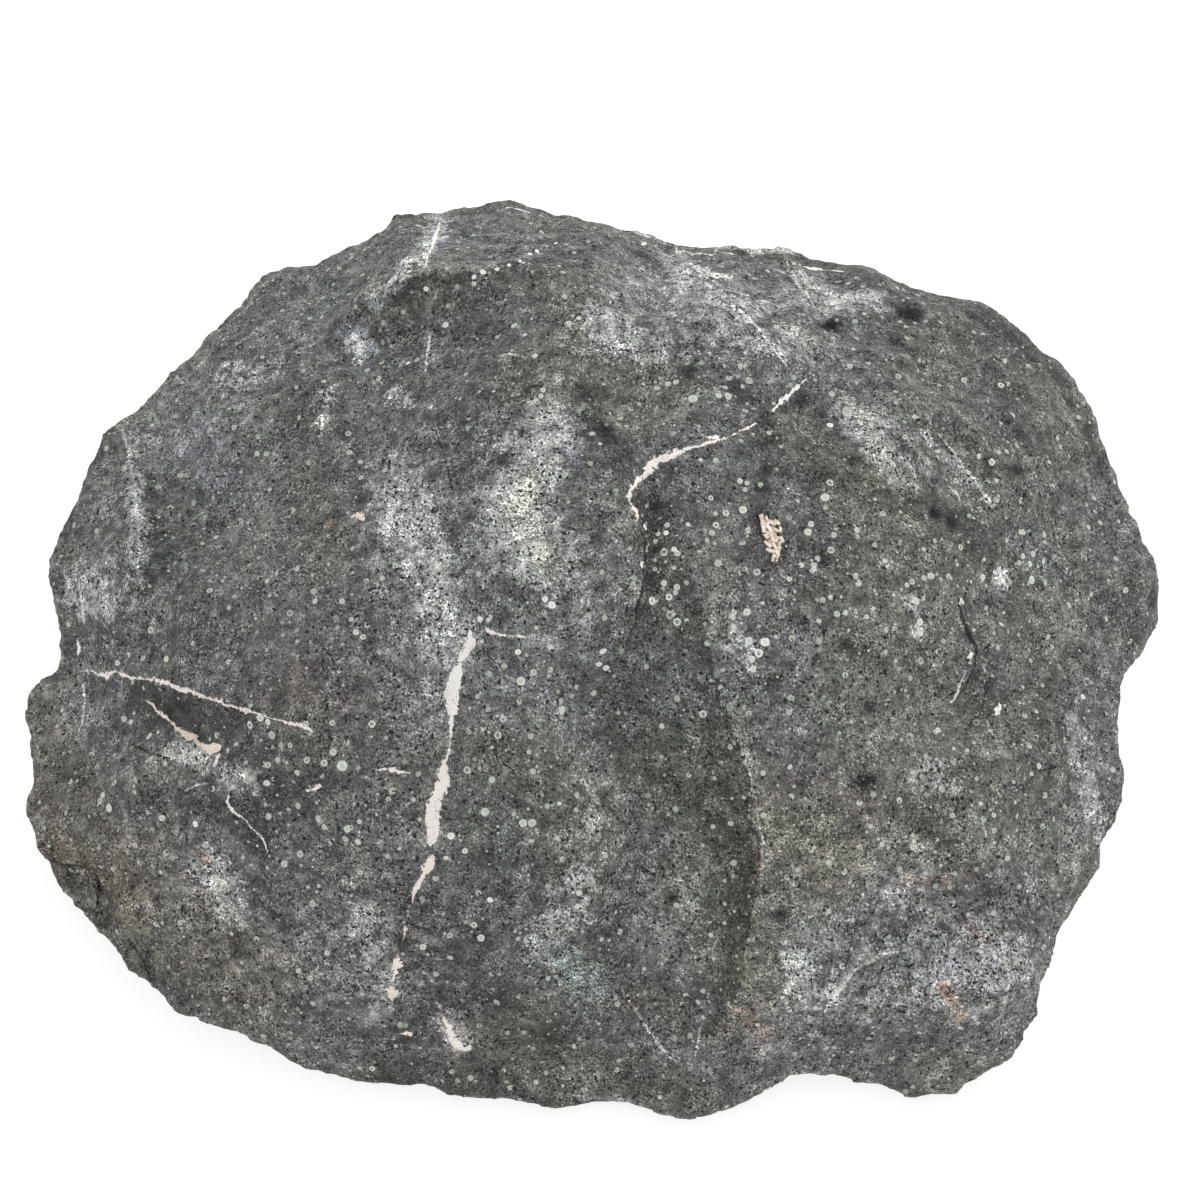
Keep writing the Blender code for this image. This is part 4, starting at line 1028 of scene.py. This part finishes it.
# A cluster of tan blades grown in one gas bubble.
blades = {
    # (across, down, turn in degrees, length in mm)
    "places": [
        (762, 520, 65, 4.2), (767, 521, 50, 4), (772, 523, 30, 3.4), (777, 523, 15, 3), (763, 528, 75, 4),
        (769, 529, 40, 4.4), (775, 530, 60, 4.2), (780, 530, 100, 3.2), (765, 536, 60, 4), (771, 537, 80, 4.4),
        (777, 538, 35, 4), (781, 540, 70, 2.8), (767, 544, 50, 4), (773, 545, 65, 4.4), (779, 547, 85, 3.4),
        (770, 551, 40, 3.4), (776, 553, 70, 3.4), (773, 558, 95, 2.6), (767, 525, 95, 2.6), (774, 541, 10, 3)],
    # sizes in mm and angles in degrees. The turn is taken over a few pixels of sight
    "seed": 4, "width": 1.45, "widthRange": (0.7, 1.3), "thickness": 0.7, "tilt": (8, 35), "bevel": 0.1,
    "lift": 0.3, "sight": 4,
    "tan": (0.66, 0.53, 0.43, 1), "pale": (0.86, 0.79, 0.69, 1), "rough": 0.5,
    "cloudNoise": (1.4, 2.0, 0.6), "cloudEdge": (0.4, 0.6),
}


def makeBlades(tree):
    luck = random.Random(blades["seed"])
    shape = bmesh.new()
    for across, down, turn, length in blades["places"]:
        middle = Vector(spotOn(tree, across, down))
        _, normal, _, _ = tree.find_nearest(middle)
        angle, far = math.radians(turn), blades["sight"]
        tip = Vector(spotOn(tree, across + far * math.cos(angle), down + far * math.sin(angle)))
        side = normal.cross(tip - middle).normalized()
        tilt = math.radians(luck.uniform(*blades["tilt"])) * luck.choice((-1, 1))
        ahead = (side.cross(normal) * math.cos(tilt) + normal * math.sin(tilt)).normalized()
        turned = Matrix((ahead, side, ahead.cross(side).normalized())).transposed().to_4x4()
        place = Matrix.Translation(middle + normal * blades["lift"] * mm) @ turned
        width = blades["width"] * luck.uniform(*blades["widthRange"])
        sizes = Matrix.Diagonal((length * mm, width * mm, blades["thickness"] * mm, 1))
        bmesh.ops.create_cube(shape, size=1.0, matrix=place @ sizes)
    bmesh.ops.bevel(shape, geom=shape.edges, offset=blades["bevel"] * mm, segments=1,
                    affect="EDGES", profile=0.5, material=-1)
    mesh = bpy.data.meshes.new("blades")
    shape.to_mesh(mesh)
    shape.free()
    return linkNew("blades", mesh)


def bladeFinish():
    f = Finish("blade")
    cloud = f.step(f.noise(*blades["cloudNoise"]), *blades["cloudEdge"])
    f.feed(f.shader.inputs["Base Color"], f.mix(cloud, blades["tan"], blades["pale"]))
    f.shader.inputs["Roughness"].default_value = blades["rough"]
    return f.material


cluster = makeBlades(makeSight(rock))
cluster.data.materials.append(bladeFinish())
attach(cluster, "root")
print("blades grown")

rock.data.materials.clear()
rock.data.materials.append(basaltFinish())
rock.data.shade_smooth()
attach(rock, "root")
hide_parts("basalt_rock")
print("rock finished")

studio = {
    "floor": (0.45, 0.45, 0.45, 1), "floorRough": 0.9, "floorGlow": 0.72,
    "floorSide": 20.0,                       # metres
    "white": (1, 1, 1, 1),
    "sky": 0.86, "sun": 1.5,                 # strengths
    "sunFrom": (0.75, 1.0, 0.45),            # the way from the rock to the sun
    "sunSoftness": 50.0,                     # degrees
}


def makeStudio():
    shape = bmesh.new()
    bmesh.ops.create_grid(shape, x_segments=1, y_segments=1, size=studio["floorSide"] / 2)
    mesh = bpy.data.meshes.new("floor")
    shape.to_mesh(mesh)
    shape.free()
    paper = bpy.data.materials.new("paper")
    paper.use_nodes = True
    shader = paper.node_tree.nodes["Principled BSDF"]
    shader.inputs["Base Color"].default_value = studio["floor"]
    shader.inputs["Roughness"].default_value = studio["floorRough"]
    shader.inputs["Emission Color"].default_value = studio["white"]
    shader.inputs["Emission Strength"].default_value = studio["floorGlow"]
    mesh.materials.append(paper)
    floor = linkNew("floor", mesh)
    world = bpy.data.worlds.new("studio")
    bpy.context.scene.world = world
    world.use_nodes = True
    sky = world.node_tree.nodes["Background"]
    sky.inputs["Color"].default_value = studio["white"]
    sky.inputs["Strength"].default_value = studio["sky"]
    lamp = bpy.data.lights.new("sun", "SUN")
    lamp.energy = studio["sun"]
    lamp.angle = math.radians(studio["sunSoftness"])
    sun = linkNew("sun", lamp)
    sun.rotation_euler = (-Vector(studio["sunFrom"])).to_track_quat("-Z", "Y").to_euler()
    bpy.context.scene.view_settings.view_transform = "Standard"


makeStudio()
print("studio ready")
